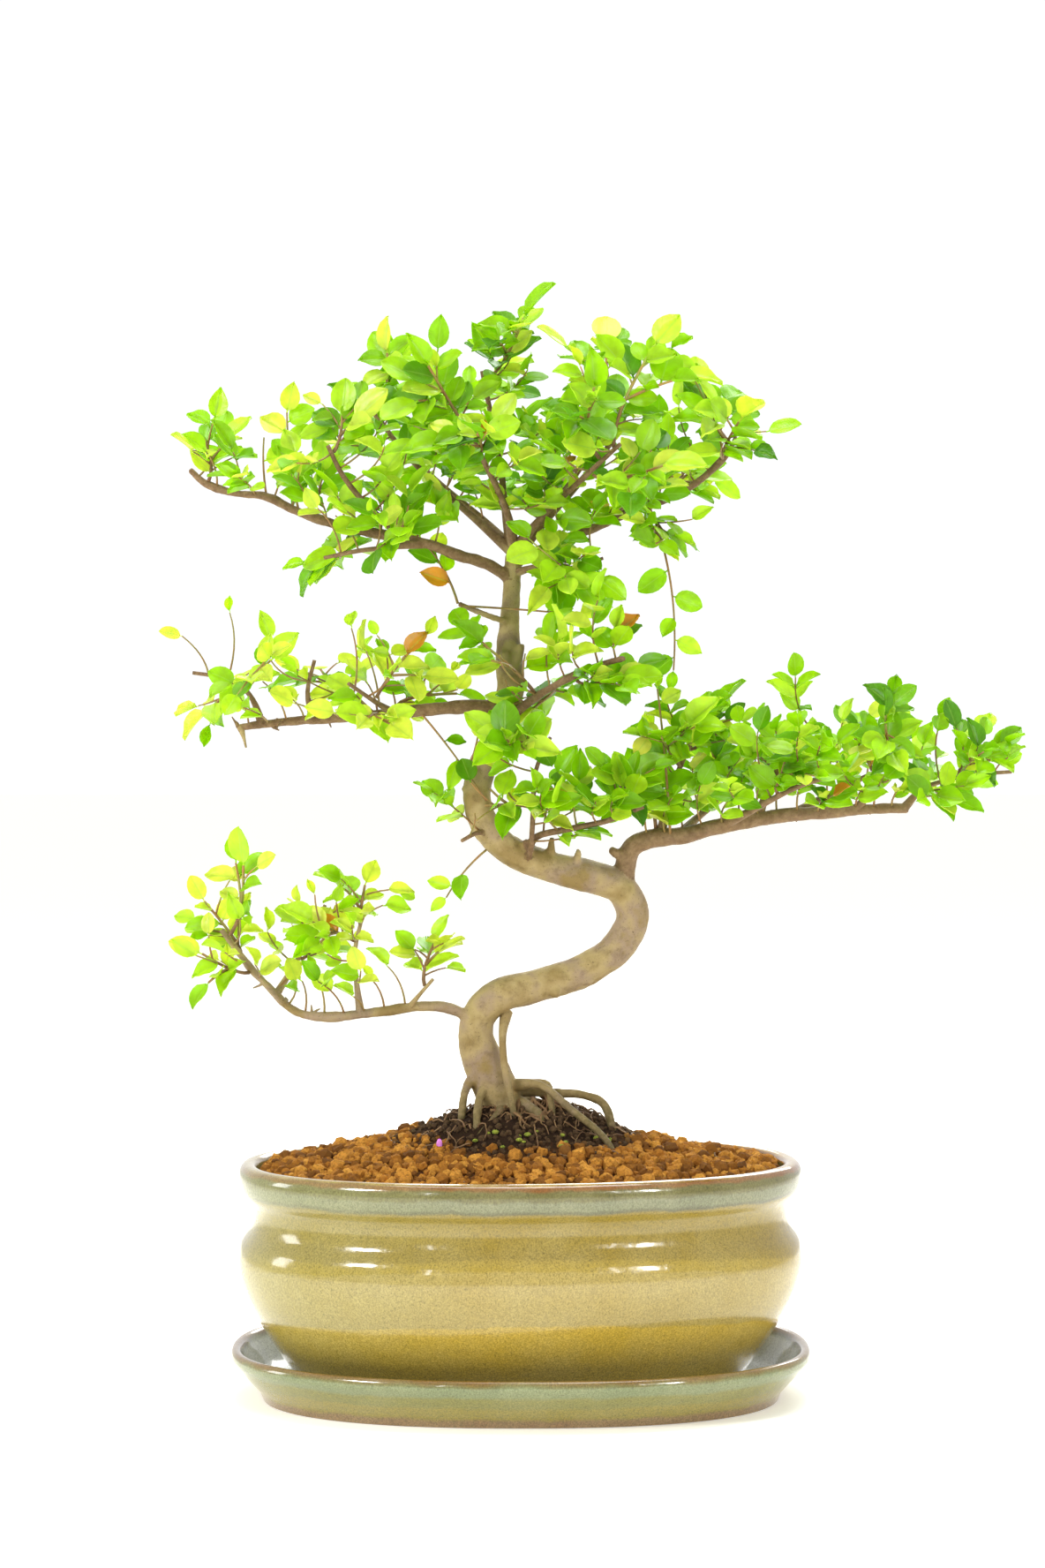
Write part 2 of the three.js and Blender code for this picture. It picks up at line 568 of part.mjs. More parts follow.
function spreadTip(pad, i, draw) {
  const share = (i + 0.5) / pad.sprays;
  const height = pad.top + (pad.bottom - pad.top) * share;
  const around = i * GOLDEN_ANGLE + pad.seed;
  const flat = (1 - Math.abs(height) ** PAD_POWER) ** (1 / PAD_POWER);
  const reach = THREE.MathUtils.lerp(TIP_REACH[0], TIP_REACH[1], draw());
  return new THREE.Vector3(
    pad.centre[0] + pad.reach[0] * flat * Math.cos(around) * reach,
    pad.centre[1] + pad.reach[1] * flat * Math.sin(around) * reach,
    pad.centre[2] + pad.reach[2] * height * reach,
  );
}

// Places along the outer part of a pad's boughs where a spray may start.
function buddingPlaces(pad, boughs) {
  const places = [];
  for (const bough of boughs) {
    if (bough.pad !== pad.wood) continue;
    const { stations } = bough;
    for (let i = 0; i < stations.length - 1; i += 1) {
      const [from, to] = [stations[i], stations[i + 1]];
      const along = to.point.clone().sub(from.point);
      const cuts = Math.max(1, Math.round(along.length() / BUD_STEP));
      for (let k = 0; k < cuts; k += 1) {
        const share = (i + k / cuts) / (stations.length - 1);
        if (share < BARE_SHARE) continue;
        const point = from.point.clone().addScaledVector(along, k / cuts);
        const radius = THREE.MathUtils.lerp(from.radius, to.radius, k / cuts);
        places.push({ point, radius, along: along.clone().normalize() });
      }
    }
  }
  return places;
}

function leastGap(points, others, slack) {
  let least = Infinity;
  for (const p of points) {
    for (const o of others) {
      const gap = p.distanceTo(o.point) - o.radius - slack;
      if (gap < least) least = gap;
    }
  }
  return least;
}

// The wood as a row of balls, close enough together that a leaf can't slip between them.
function woodBalls(limbs) {
  const balls = [];
  for (const { stations } of limbs) {
    for (let i = 0; i < stations.length - 1; i += 1) {
      const [from, to] = [stations[i], stations[i + 1]];
      const cuts = Math.max(1, Math.ceil(from.point.distanceTo(to.point) / BALL_STEP));
      for (let k = 0; k < cuts; k += 1) {
        const point = from.point.clone().lerp(to.point, k / cuts);
        balls.push({ point, radius: THREE.MathUtils.lerp(from.radius, to.radius, k / cuts) });
      }
    }
    const last = stations[stations.length - 1];
    balls.push({ point: last.point.clone(), radius: last.radius });
  }
  return balls;
}

function makeTwig(start, control, end, radius, pairs) {
  const curve = new THREE.QuadraticBezierCurve3(start, control, end);
  return { curve, radius, pairs, length: start.distanceTo(end) };
}

function twigSpot(twig, share) {
  const radius = twig.radius * (1 - TWIG_TAPER * share);
  return { point: twig.curve.getPoint(share), along: twig.curve.getTangent(share), radius };
}

function twigBalls(twig, spray) {
  const cuts = Math.max(2, Math.ceil(twig.length / BALL_STEP));
  return Array.from({ length: cuts + 1 }, (_, i) => ({ ...twigSpot(twig, i / cuts), spray }));
}

// A main twig leaves its bough square to it and bends to its tip, swayed clear of what already grows there.
function mainTwig(place, tip, balls) {
  const reach = tip.clone().sub(place.point);
  const away = reach.length();
  const out = reach.clone().addScaledVector(place.along, -reach.dot(place.along)).normalize();
  const start = place.point.clone().addScaledVector(out, place.radius + FIT_GAP);
  let best = null;
  for (let attempt = 0; attempt < TWIG_TRIES; attempt += 1) {
    const control = start.clone().addScaledVector(out, away * TWIG_BEND);
    const turn = attempt * GOLDEN_ANGLE;
    const sway = away * TWIG_SWAY * attempt;
    control.x += sway * Math.cos(turn);
    control.y += sway * Math.sin(turn);
    control.z += away * TWIG_LIFT;
    const twig = makeTwig(start, control, tip, TWIG_RADIUS, PAIR_SHARES);
    const gap = leastGap(TWIG_PROBES.map((share) => twigSpot(twig, share).point), balls, TWIG_RADIUS);
    if (best === null || gap > best.gap) best = { twig, gap };
    if (gap > TWIG_CLEAR) break;
  }
  return best;
}

function sideTwig(main, facing, balls, draw) {
  const spot = twigSpot(main, SIDE_TWIG_START);
  const sideways = spot.along.clone().cross(facing).normalize();
  const length = main.length * THREE.MathUtils.lerp(SIDE_TWIG_LENGTH[0], SIDE_TWIG_LENGTH[1], draw());
  for (let attempt = 0; attempt < TWIG_TRIES; attempt += 1) {
    const sign = (Math.floor(spot.point.x) + attempt) % 2 === 0 ? 1 : -1;
    const way = spot.along.clone().multiplyScalar(SIDE_TWIG_FORWARD);
    way.addScaledVector(sideways, sign * SIDE_TWIG_ASIDE);
    way.addScaledVector(facing, SIDE_TWIG_STRAY * (draw() - SIDE_TWIG_DROOP) * (1 + attempt)).normalize();
    const end = spot.point.clone().addScaledVector(way, length);
    const control = spot.point.clone().addScaledVector(way, length / 2);
    control.addScaledVector(spot.along, length * TWIG_LIFT);
    const twig = makeTwig(spot.point, control, end, SIDE_TWIG_RADIUS, SIDE_PAIR_SHARES);
    const points = SIDE_TWIG_PROBES.map((share) => twigSpot(twig, share).point);
    if (leastGap(points, balls, SIDE_TWIG_RADIUS) > TWIG_CLEAR) return twig;
  }
  return null;
}

function growTwigs(pad, boughs, balls, taken) {
  const draw = makeDraw(pad.seed);
  const places = buddingPlaces(pad, boughs);
  const sprays = [];
  for (let i = 0; i < pad.sprays; i += 1) {
    const tip = spreadTip(pad, i, draw);
    const free = places.filter(({ point }) => point.distanceTo(tip) >= TWIG_LEAST
      && taken.every((other) => other.distanceTo(point) >= TWIG_SPACING));
    free.sort((a, b) => a.point.distanceTo(tip) - b.point.distanceTo(tip));
    const name = `${pad.name}_spray_${i + 1}`;
    const outward = tip.clone().sub(new THREE.Vector3(...pad.centre)).normalize();
    const facing = UP.clone().multiplyScalar(SPRAY_RISE).addScaledVector(outward, SPRAY_SPREAD);
    facing.addScaledVector(FRONT, SPRAY_FRONT).normalize();
    for (const place of free.slice(0, PLACES_TRIED)) {
      const { twig, gap } = mainTwig(place, tip, balls);
      if (gap <= TWIG_CLEAR) continue;
      taken.push(place.point);
      const side = sideTwig(twig, facing, balls, draw);
      const twigs = side === null ? [twig] : [twig, side];
      for (const grown of twigs) balls.push(...twigBalls(grown, name));
      sprays.push({ name, pad, facing, twigs, rank: i });
      break;
    }
  }
  return sprays;
}

// Leaves: in pairs along the twigs and one at each end, turned or left out where they would cross another

function leafFrame(spray, spot, sign, draw) {
  const sideways = spot.along.clone().cross(spray.facing).normalize();
  const forward = sign === 0 ? 1 : LEAF_FORWARD;
  const way = spot.along.clone().multiplyScalar(forward).addScaledVector(sideways, sign * LEAF_ASIDE);
  way.x += LEAF_STRAY[0] * (draw() - 0.5);
  way.y += LEAF_STRAY[1] * (draw() - 0.5);
  way.z += LEAF_STRAY[2] * (draw() - 0.5);
  way.normalize();
  const face = spray.facing.clone();
  face.x += FACE_STRAY * (draw() - 0.5);
  face.y += FACE_STRAY * (draw() - 0.5) - FACE_TO_FRONT;
  face.addScaledVector(way, -face.dot(way)).normalize();
  const length = spray.pad.leaf * THREE.MathUtils.lerp(LEAF_LENGTH[0], LEAF_LENGTH[1], draw());
  const width = length * THREE.MathUtils.lerp(LEAF_WIDTH[0], LEAF_WIDTH[1], draw());
  return { base: spot.point, way, face, across: face.clone().cross(way), length, width };
}

function leafPoint(leaf, u, v, lift = 0) {
  const height = LEAF_FOLD * Math.abs(v) * leaf.width - LEAF_ARCH * u * u * leaf.length + lift;
  return leaf.base.clone()
    .addScaledVector(leaf.way, u * leaf.length)
    .addScaledVector(leaf.across, v * leaf.width)
    .addScaledVector(leaf.face, height);
}

// The part of a direction that stands square on a twig, at length 1.
function across(direction, along) {
  return direction.clone().addScaledVector(along, -direction.dot(along)).normalize();
}

// Which way the upper side of a twig looks. It turns with the bend of the twig and never flips over.
function upperSide(spray, twig, along) {
  return across(across(spray.facing, twigSpot(twig, 0).along), along);
}

// Whether a point of a leaf would hide one of the bare stretches of the trunk.
function hidesTrunk(point) {
  return point.y < BARE_BACK && BARE_STRETCHES.some(({ x, z }) => (
    point.x > x[0] && point.x < x[1] && point.z > z[0] && point.z < z[1]
  ));
}

function freeLeaf(spray, twig, share, sign, draw, balls, leafBalls) {
  const spot = twigSpot(twig, share);
  const up = upperSide(spray, twig, spot.along);
  for (let attempt = 0; attempt < LEAF_TRIES; attempt += 1) {
    const leaf = leafFrame(spray, spot, sign, draw);
    const probes = LEAF_PROBES.map(([u, v]) => leafPoint(leaf, u, v));
    const isOwn = (ball) => ball.spray === spray.name;
    const isPastFoot = (ball) => ball.point.distanceTo(leaf.base) > LEAF_FOOT;
    const otherWood = balls.filter((ball) => !isOwn(ball));
    const ownWood = balls.filter((ball) => isOwn(ball) && isPastFoot(ball));
    const others = leafBalls.filter((ball) => !isOwn(ball));
    const own = leafBalls.filter(isOwn);
    const clear = leaf.face.dot(up) > LEAF_LEAST_TURN
      && !probes.some(hidesTrunk)
      && leastGap(probes, otherWood, 0) > CLEAR_OF_WOOD
      && leastGap(probes, ownWood, 0) > CLEAR_OF_OWN_TWIGS
      && leastGap(probes, others, 0) > CLEAR_OF_LEAVES
      && leastGap(probes, own, 0) > CLEAR_OF_OWN_LEAVES;
    if (clear) {
      leafBalls.push(...probes.map((point) => ({ point, radius: 0, spray: spray.name })));
      return leaf;
    }
  }
  return null;
}

// Each twig with its leaves: the one at its end, then a right and a left one at each pair.
function growLeaves(spray, balls, leafBalls) {
  const draw = makeDraw(spray.pad.seed * 1000 + spray.rank);
  return spray.twigs.map((twig) => {
    const end = freeLeaf(spray, twig, 1, 0, draw, balls, leafBalls);
    const pairs = twig.pairs.map((share) => [1, -1].map((sign) => (
      freeLeaf(spray, twig, share, sign, draw, balls, leafBalls)
    )));
    return { twig, end, pairs };
  });
}

// A twig is three-sided, one corner down. A blade is raised from a side face or from the end face: both its
// faces fan out from the spine to one outline, so it is thickest along the middle.
const SECTION = [[0, -1], [0.87, 0.5], [-0.87, 0.5]];

function fan(loop, hub) {
  return loop.map((corner, i) => [corner, loop[(i + 1) % loop.length], hub]);
}

// Raises a blade between the upper and the lower edge of a face that is left open for it.
function bladeFaces(points, leaf, upperEdge, lowerEdge) {
  const rightSide = LEAF_OUTLINE.map(([u, v]) => leafPoint(leaf, u, -v));
  const leftSide = LEAF_OUTLINE.map(([u, v]) => leafPoint(leaf, u, v)).reverse();
  const outline = [...rightSide, leafPoint(leaf, 1, 0), ...leftSide];
  const rim = outline.map((_, i) => points.length + i);
  points.push(...outline);
  const [upper, lower] = [points.length, points.length + 1];
  points.push(leafPoint(leaf, LEAF_SPINE, 0, LEAF_THICKNESS / 2));
  points.push(leafPoint(leaf, LEAF_SPINE, 0, -LEAF_THICKNESS / 2));
  return [
    ...fan([...upperEdge, ...rim], upper),
    ...fan([...lowerEdge, ...rim.toReversed()], lower),
    [rim[0], upperEdge[1], lowerEdge[0]],
    [upperEdge[0], rim.at(-1), lowerEdge.at(-1)],
  ];
}

function twigSolid(spray, { twig, end, pairs }) {
  const seat = LEAF_SEAT / twig.length;
  const shares = [0, ...twig.pairs.flatMap((share) => [share - seat, share + seat]), 1];
  const points = [];
  for (const share of shares) {
    const { point, along, radius } = twigSpot(twig, share);
    const up = upperSide(spray, twig, along);
    const right = along.clone().cross(up);
    for (const [aside, above] of SECTION) {
      const corner = point.clone().addScaledVector(right, aside * radius);
      points.push(corner.addScaledVector(up, above * radius));
    }
  }
  const faces = [[0, 1, 2]];
  for (let ring = 0; ring < shares.length - 1; ring += 1) {
    const pair = ring % 2 === 1 ? pairs[(ring - 1) / 2] : [null, null];
    for (let k = 0; k < 3; k += 1) {
      const next = (k + 1) % 3;
      const [a, b, c, d] = [ring * 3 + k, ring * 3 + next, ring * 3 + 3 + next, ring * 3 + 3 + k];
      if (k === 0 && pair[0] !== null) {
        faces.push(...bladeFaces(points, pair[0], [c, b], [a, d]));
      } else if (k === 2 && pair[1] !== null) {
        faces.push(...bladeFaces(points, pair[1], [a, d], [c, b]));
      } else {
        faces.push([a, d, c], [a, c, b]);
      }
    }
  }
  const last = (shares.length - 1) * 3;
  if (end === null) {
    faces.push([last, last + 2, last + 1]);
  } else {
    faces.push(...bladeFaces(points, end, [last + 2, last + 1], [last]));
  }
  return facingOut(toSolid(closedGeometry(points, faces)));
}

function spraySolid(spray, grown) {
  return mainBody(joined(grown.map((twigWithLeaves) => twigSolid(spray, twigWithLeaves))));
}

// The whole bonsai

const bonsai = new THREE.Group();
const { trunk, boughs, roots } = allLimbs();
const limbs = [trunk, ...boughs, ...roots];
const wood = mainBody(joined(limbs.map(({ stations, sides }) => limbSolid(stations, sides))));
const buried = joined([trunk, ...roots].map(({ stations, sides }) => limbSolid(stations, sides, FIT_GAP)));
bonsai.add(namedMesh('tray', makeTray(), TRAY_GLAZE));
bonsai.add(namedMesh('pot', makePot(), GLAZE));
bonsai.add(namedMesh('drainage_mesh_left', makeNet(-1), NET));
bonsai.add(namedMesh('drainage_mesh_right', makeNet(1), NET));
bonsai.add(namedMesh('soil', makeSoil(buried), GRANULES));
bonsai.add(namedMesh('trunk', wood, BARK));

const balls = woodBalls(limbs);
const taken = [];
const sprays = PADS.flatMap((pad) => growTwigs(pad, boughs, balls, taken));
const leafBalls = [];
for (const spray of sprays) {
  bonsai.add(namedMesh(spray.name, spraySolid(spray, growLeaves(spray, balls, leafBalls)), LEAF));
}

export default bonsai;
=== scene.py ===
"""A sweet plum bonsai in its glazed oval pot on a drip tray, dressed around its CAD frame."""

import logging
import math
from collections.abc import Callable, Iterator, Sequence
from contextlib import contextmanager
from dataclasses import dataclass, field
from enum import Enum
from functools import reduce

import bpy
import numpy as np
from mathutils import Matrix, Vector
from mathutils.bvhtree import BVHTree


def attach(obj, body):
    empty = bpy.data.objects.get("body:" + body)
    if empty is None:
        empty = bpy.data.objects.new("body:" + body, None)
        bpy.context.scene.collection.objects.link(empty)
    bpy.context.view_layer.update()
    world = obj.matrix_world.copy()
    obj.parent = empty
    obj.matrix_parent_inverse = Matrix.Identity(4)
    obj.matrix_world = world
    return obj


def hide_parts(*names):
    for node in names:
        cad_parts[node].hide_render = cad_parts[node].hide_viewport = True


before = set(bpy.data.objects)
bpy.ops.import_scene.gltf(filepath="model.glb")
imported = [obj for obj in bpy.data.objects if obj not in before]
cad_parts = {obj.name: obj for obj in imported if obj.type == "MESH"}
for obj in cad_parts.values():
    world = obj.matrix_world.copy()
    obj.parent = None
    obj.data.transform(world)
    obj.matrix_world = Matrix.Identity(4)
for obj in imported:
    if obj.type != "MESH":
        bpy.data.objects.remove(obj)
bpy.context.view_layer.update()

MM = 0.001
ROOT = "root"
GOLDEN_ANGLE = math.pi * (3 - math.sqrt(5))
UP = np.array([0.0, 0.0, 1.0])
FRONT = np.array([0.0, -1.0, 0.0])
log = logging.getLogger("bonsai")

Pair = tuple[float, float]
Triple = tuple[float, float, float]
Colour = Triple
Stop = tuple[float, Colour]
Array = np.ndarray
Draws = np.random.Generator
Socket = bpy.types.NodeSocket
Material = bpy.types.Material
Object = bpy.types.Object


class Slot(Enum):
    """The material slots."""

    POT = "pot_glaze"
    TRAY = "tray_glaze"
    SOIL = "soil"
    BARK = "bark"
    LEAF = "leaf"


# Work at the bench


def deselect() -> None:
    """Leaves nothing selected."""
    for piece in list(bpy.context.selected_objects):
        piece.select_set(False)


def pick(*pieces: Object) -> None:
    """Selects these pieces alone and makes the first one active.

    Args:
        pieces: The pieces.
    """
    deselect()
    for piece in pieces:
        piece.select_set(True)
    bpy.context.view_layer.objects.active = pieces[0]


def add(name: str, primitive: Callable[..., object], **settings: object) -> Object:
    """Adds a primitive while nothing else is selected.

    Args:
        name: Its name.
        primitive: The operator that adds it.
        settings: Its size and place.

    Returns:
        The new piece.
    """
    deselect()
    primitive(**settings)
    piece = bpy.context.active_object
    piece.name = name
    return piece


@contextmanager
def editing(piece: Object) -> Iterator[None]:
    """Holds a piece in edit mode, all selected at first.

    Args:
        piece: The piece.
    """
    pick(piece)
    bpy.ops.object.mode_set(mode="EDIT")
    bpy.ops.mesh.select_all(action="SELECT")
    try:
        yield
    finally:
        bpy.ops.object.mode_set(mode="OBJECT")


def select_vertices(piece: Object, chosen: Callable[[Vector], bool]) -> None:
    """Selects the vertices of a piece in edit mode by their place.

    Args:
        piece: The piece.
        chosen: Says whether a vertex at a place is wanted.
    """
    bpy.ops.object.mode_set(mode="OBJECT")
    mesh = piece.data
    flags = [bool(chosen(vertex.co)) for vertex in mesh.vertices]
    mesh.polygons.foreach_set("select", [False] * len(mesh.polygons))
    mesh.edges.foreach_set("select", [False] * len(mesh.edges))
    mesh.vertices.foreach_set("select", flags)
    bpy.ops.object.mode_set(mode="EDIT")
    bpy.ops.mesh.select_mode(type="VERT")


def apply_modifier(piece: Object, kind: str, **settings: object) -> None:
    """Adds a modifier to a piece and applies it.

    Args:
        piece: The piece.
        kind: The modifier's type.
        settings: Its settings.
    """
    pick(piece)
    modifier = piece.modifiers.new(kind.title(), kind)
    for name, value in settings.items():
        setattr(modifier, name, value)
    bpy.ops.object.modifier_apply(modifier=modifier.name)


def cut_away(piece: Object, cutter: Object) -> None:
    """Cuts one piece out of another and throws the cutter away."""
    apply_modifier(piece, "BOOLEAN", object=cutter, operation="DIFFERENCE", solver="EXACT")
    bpy.data.objects.remove(cutter)


def join(pieces: Sequence[Object], name: str) -> Object:
    """Joins pieces into one.

    Args:
        pieces: The pieces.
        name: The name of the whole.

    Returns:
        The whole.
    """
    pick(*pieces)
    if len(pieces) > 1:
        bpy.ops.object.join()
    whole = bpy.context.view_layer.objects.active
    whole.name = name
    whole.data.name = name
    return whole


def settle(piece: Object) -> None:
    """Puts a piece's place into its mesh, so that its object sits at the origin.

    Args:
        piece: The piece.
    """
    bpy.context.view_layer.update()
    piece.data.transform(piece.matrix_world)
    piece.matrix_world = Matrix.Identity(4)


def smooth(piece: Object, degrees: float) -> None:
    """Shades a piece smooth, but for edges sharper than an angle in degrees."""
    pick(piece)
    bpy.ops.object.shade_smooth_by_angle(angle=math.radians(degrees))


def places_of(piece: Object) -> Array:
    """Where the vertices of a piece are.

    Args:
        piece: The piece.

    Returns:
        Rows of x, y and z in millimetres.
    """
    places = np.zeros(len(piece.data.vertices) * 3)
    piece.data.vertices.foreach_get("co", places)
    return places.reshape(-1, 3) / MM


def mark(piece: Object, name: str, values: Array | Sequence[float] | float = 0) -> None:
    """Gives the vertices of a piece a named value each, or all the same one."""
    marks = piece.data.attributes.get(name) or piece.data.attributes.new(name, "FLOAT", "POINT")
    marks.data.foreach_set("value", np.full(len(piece.data.vertices), values))


def show(name: str, data: bpy.types.ID) -> Object:
    """Puts a new object into the scene.

    Args:
        name: Its name.
        data: Its mesh, light or camera.

    Returns:
        The object.
    """
    made = bpy.data.objects.new(name, data)
    bpy.context.scene.collection.objects.link(made)
    return made


def copy_of(form: Object, place: Matrix, **marks: float) -> Object:
    """Copies a form that was modelled once.

    Args:
        form: The form.
        place: What carries it to its place.
        marks: The copy's own marks.

    Returns:
        The copy, with its own mesh.
    """
    copy = show("copy", form.data.copy())
    copy.data.transform(place)
    for name, value in marks.items():
        mark(copy, name, value)
    return copy


def paint(piece: Object, material: Material) -> None:
    """Gives a piece one material in place of any that it has."""
    piece.data.materials.clear()
    piece.data.materials.append(material)


def dress(piece: Object, material: Material | None, slot: Slot, *nodes: str) -> None:
    """Gives a finished piece its material and its place on the frame.

    Args:
        piece: The piece.
        material: Its material, or None where it is painted already.
        slot: The slot that its finish belongs to; not used.
        nodes: The CAD nodes that it stands for.
    """
    if material:
        paint(piece, material)
    if nodes:
        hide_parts(*nodes)
    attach(piece, ROOT)
    faces = sum(len(polygon.vertices) - 2 for polygon in piece.data.polygons)
    log.info("%s: %d triangles", piece.name, faces)


# Finishes


class Pattern:
    """A material and the nodes that paint it."""

    def __init__(self, name: str) -> None:
        """Starts a material on its own shader.

        Args:
            name: The material's name.
        """
        self.material = bpy.data.materials.new(name)
        self.material.use_nodes = True
        self.tree = self.material.node_tree
        self.shader = self.tree.nodes["Principled BSDF"]
        self.output = self.tree.nodes["Material Output"]
        self.place = self.node("ShaderNodeTexCoord").outputs["Object"]

    def node(self, kind: str, **settings: object) -> bpy.types.Node:
        """Adds a node.

        Args:
            kind: Its type.
            settings: Its settings.

        Returns:
            The node.
        """
        made = self.tree.nodes.new(kind)
        for name, value in settings.items():
            setattr(made, name, value)
        return made

    def feed(self, socket: Socket, value: Socket | float | Sequence[float]) -> None:
        """Links a socket to another, or sets it.

        Args:
            socket: The input.
            value: An output to link, or a plain value.
        """
        if isinstance(value, bpy.types.NodeSocket):
            self.tree.links.new(value, socket)
        elif isinstance(value, (int, float)) or len(value) == len(socket.default_value):
            socket.default_value = value
        else:
            socket.default_value = (*value, 1)

    def fill(self, node: bpy.types.Node, **sockets: Socket | float | Sequence[float]) -> None:
        """Sets a node's sockets, whose names have underscores for spaces."""
        for name, value in sockets.items():
            self.feed(node.inputs[name.replace("_", " ")], value)

    def noise(self, size: float, detail: float = 4, roughness: float = 0.55,
              stretch: Triple | None = None) -> Socket:
        """A noise over the piece.

        Args:
            size: The size of its blobs in millimetres.
            detail: How many finer layers it has.
            roughness: How strong they are.
            stretch: How much faster it changes along each axis.

        Returns:
            The noise, from 0 to 1.
        """
        made = self.node("ShaderNodeTexNoise")
        place = self.place if stretch is None else self.vector("MULTIPLY", self.place, stretch)
        self.fill(made, Vector=place, Scale=1 / (size * MM), Detail=detail, Roughness=roughness)
        return made.outputs["Fac"]

    def cells(self, size: float, feature: str = "F1") -> Socket:
        """Rounded cells over the piece.

        Args:
            size: Their size in millimetres.
            feature: F1 measures from each cell's middle, DISTANCE_TO_EDGE from its edge.

        Returns:
            The distance in cell sizes.
        """
        made = self.node("ShaderNodeTexVoronoi", feature=feature)
        self.fill(made, Vector=self.place, Scale=1 / (size * MM))
        return made.outputs["Distance"]

    def ramp(self, factor: Socket, *stops: Stop) -> Socket:
        """Colours by a factor.

        Args:
            factor: The factor.
            stops: Places from 0 to 1 with their colours.

        Returns:
            The colour.
        """
        made = self.node("ShaderNodeValToRGB")
        elements = made.color_ramp.elements
        while len(elements) < len(stops):
            elements.new(1)
        for element, (place, colour) in zip(elements, stops):
            element.position = place
            element.color = (*colour, 1)
        self.feed(made.inputs["Fac"], factor)
        return made.outputs["Color"]

    def sums(self, operation: str, first: Socket | float, second: Socket | float = 0) -> Socket:
        """A sum on two values.

        Args:
            operation: The operation.
            first: The first value.
            second: The second value.

        Returns:
            The result.
        """
        made = self.node("ShaderNodeMath", operation=operation)
        self.feed(made.inputs[0], first)
        self.feed(made.inputs[1], second)
        return made.outputs[0]

    def times(self, *values: Socket | float) -> Socket:
        """The product of some values."""
        return reduce(lambda first, second: self.sums("MULTIPLY", first, second), values)

    def plus(self, *values: Socket | float) -> Socket:
        """The total of some values."""
        return reduce(lambda first, second: self.sums("ADD", first, second), values)

    def vector(self, operation: str, first: Socket, second: Socket | Triple = (0, 0, 0)) -> Socket:
        """A sum on a vector.

        Args:
            operation: The operation.
            first: The vector.
            second: The second vector, or the factor of SCALE.

        Returns:
            The result.
        """
        made = self.node("ShaderNodeVectorMath", operation=operation)
        self.feed(made.inputs[0], first)
        self.feed(made.inputs["Scale" if operation == "SCALE" else 1], second)
        return made.outputs["Value" if operation == "LENGTH" else "Vector"]

    def distance(self, place: Triple, stretch: Triple) -> Socket:
        """The distance in metres from a place in millimetres, with each axis stretched."""
        offset = self.vector("SUBTRACT", self.place, tuple(part * MM for part in place))
        return self.vector("LENGTH", self.vector("MULTIPLY", offset, stretch))

    def span(self, value: Socket, low: float, high: float, to_low: float = 0, to_high: float = 1) -> Socket:
        """Carries a range of a value over to another, held at its ends.

        Args:
            value: The value.
            low: The start of its range.
            high: The end of its range.
            to_low: The result at the start.
            to_high: The result at the end.

        Returns:
            The result.
        """
        made = self.node("ShaderNodeMapRange", clamp=True)
        self.fill(made, Value=value, From_Min=low, From_Max=high, To_Min=to_low, To_Max=to_high)
        return made.outputs["Result"]

    def mix(self, factor: Socket | float, first: Socket | Colour, second: Socket | Colour,
            blend: str = "MIX") -> Socket:
        """Mixes two colours.

        Args:
            factor: How much of the second shows.
            first: The first colour.
            second: The second colour.
            blend: How they are mixed.

        Returns:
            The colour.
        """
        made = self.node("ShaderNodeMix", data_type="RGBA", blend_type=blend)
        self.feed(made.inputs["Factor"], factor)
        self.feed(made.inputs[6], first)
        self.feed(made.inputs[7], second)
        return made.outputs[2]

    def axes(self, vector: Socket | None = None) -> tuple[Socket, ...]:
        """The parts of a vector along the three axes.

        Args:
            vector: The vector, or None for the place on the piece.

        Returns:
            The parts.
        """
        made = self.node("ShaderNodeSeparateXYZ")
        self.feed(made.inputs[0], self.place if vector is None else vector)
        return tuple(made.outputs)

    def mark(self, name: str) -> Socket:
        """A named value of the mesh."""
        return self.node("ShaderNodeAttribute", attribute_name=name).outputs["Fac"]

    def relief(self, height: Socket, depth: float, strength: float = 1) -> None:
        """Gives the surface a relief.

        Args:
            height: Its height from 0 to 1.
            depth: Its depth in millimetres.
            strength: How strongly it shows.
        """
        made = self.node("ShaderNodeBump")
        self.fill(made, Strength=strength, Distance=depth * MM, Height=height)
        self.set(Normal=made.outputs["Normal"])

    def set(self, **sockets: Socket | float | Sequence[float]) -> None:
        """Sets the shader's sockets."""
        self.fill(self.shader, **sockets)


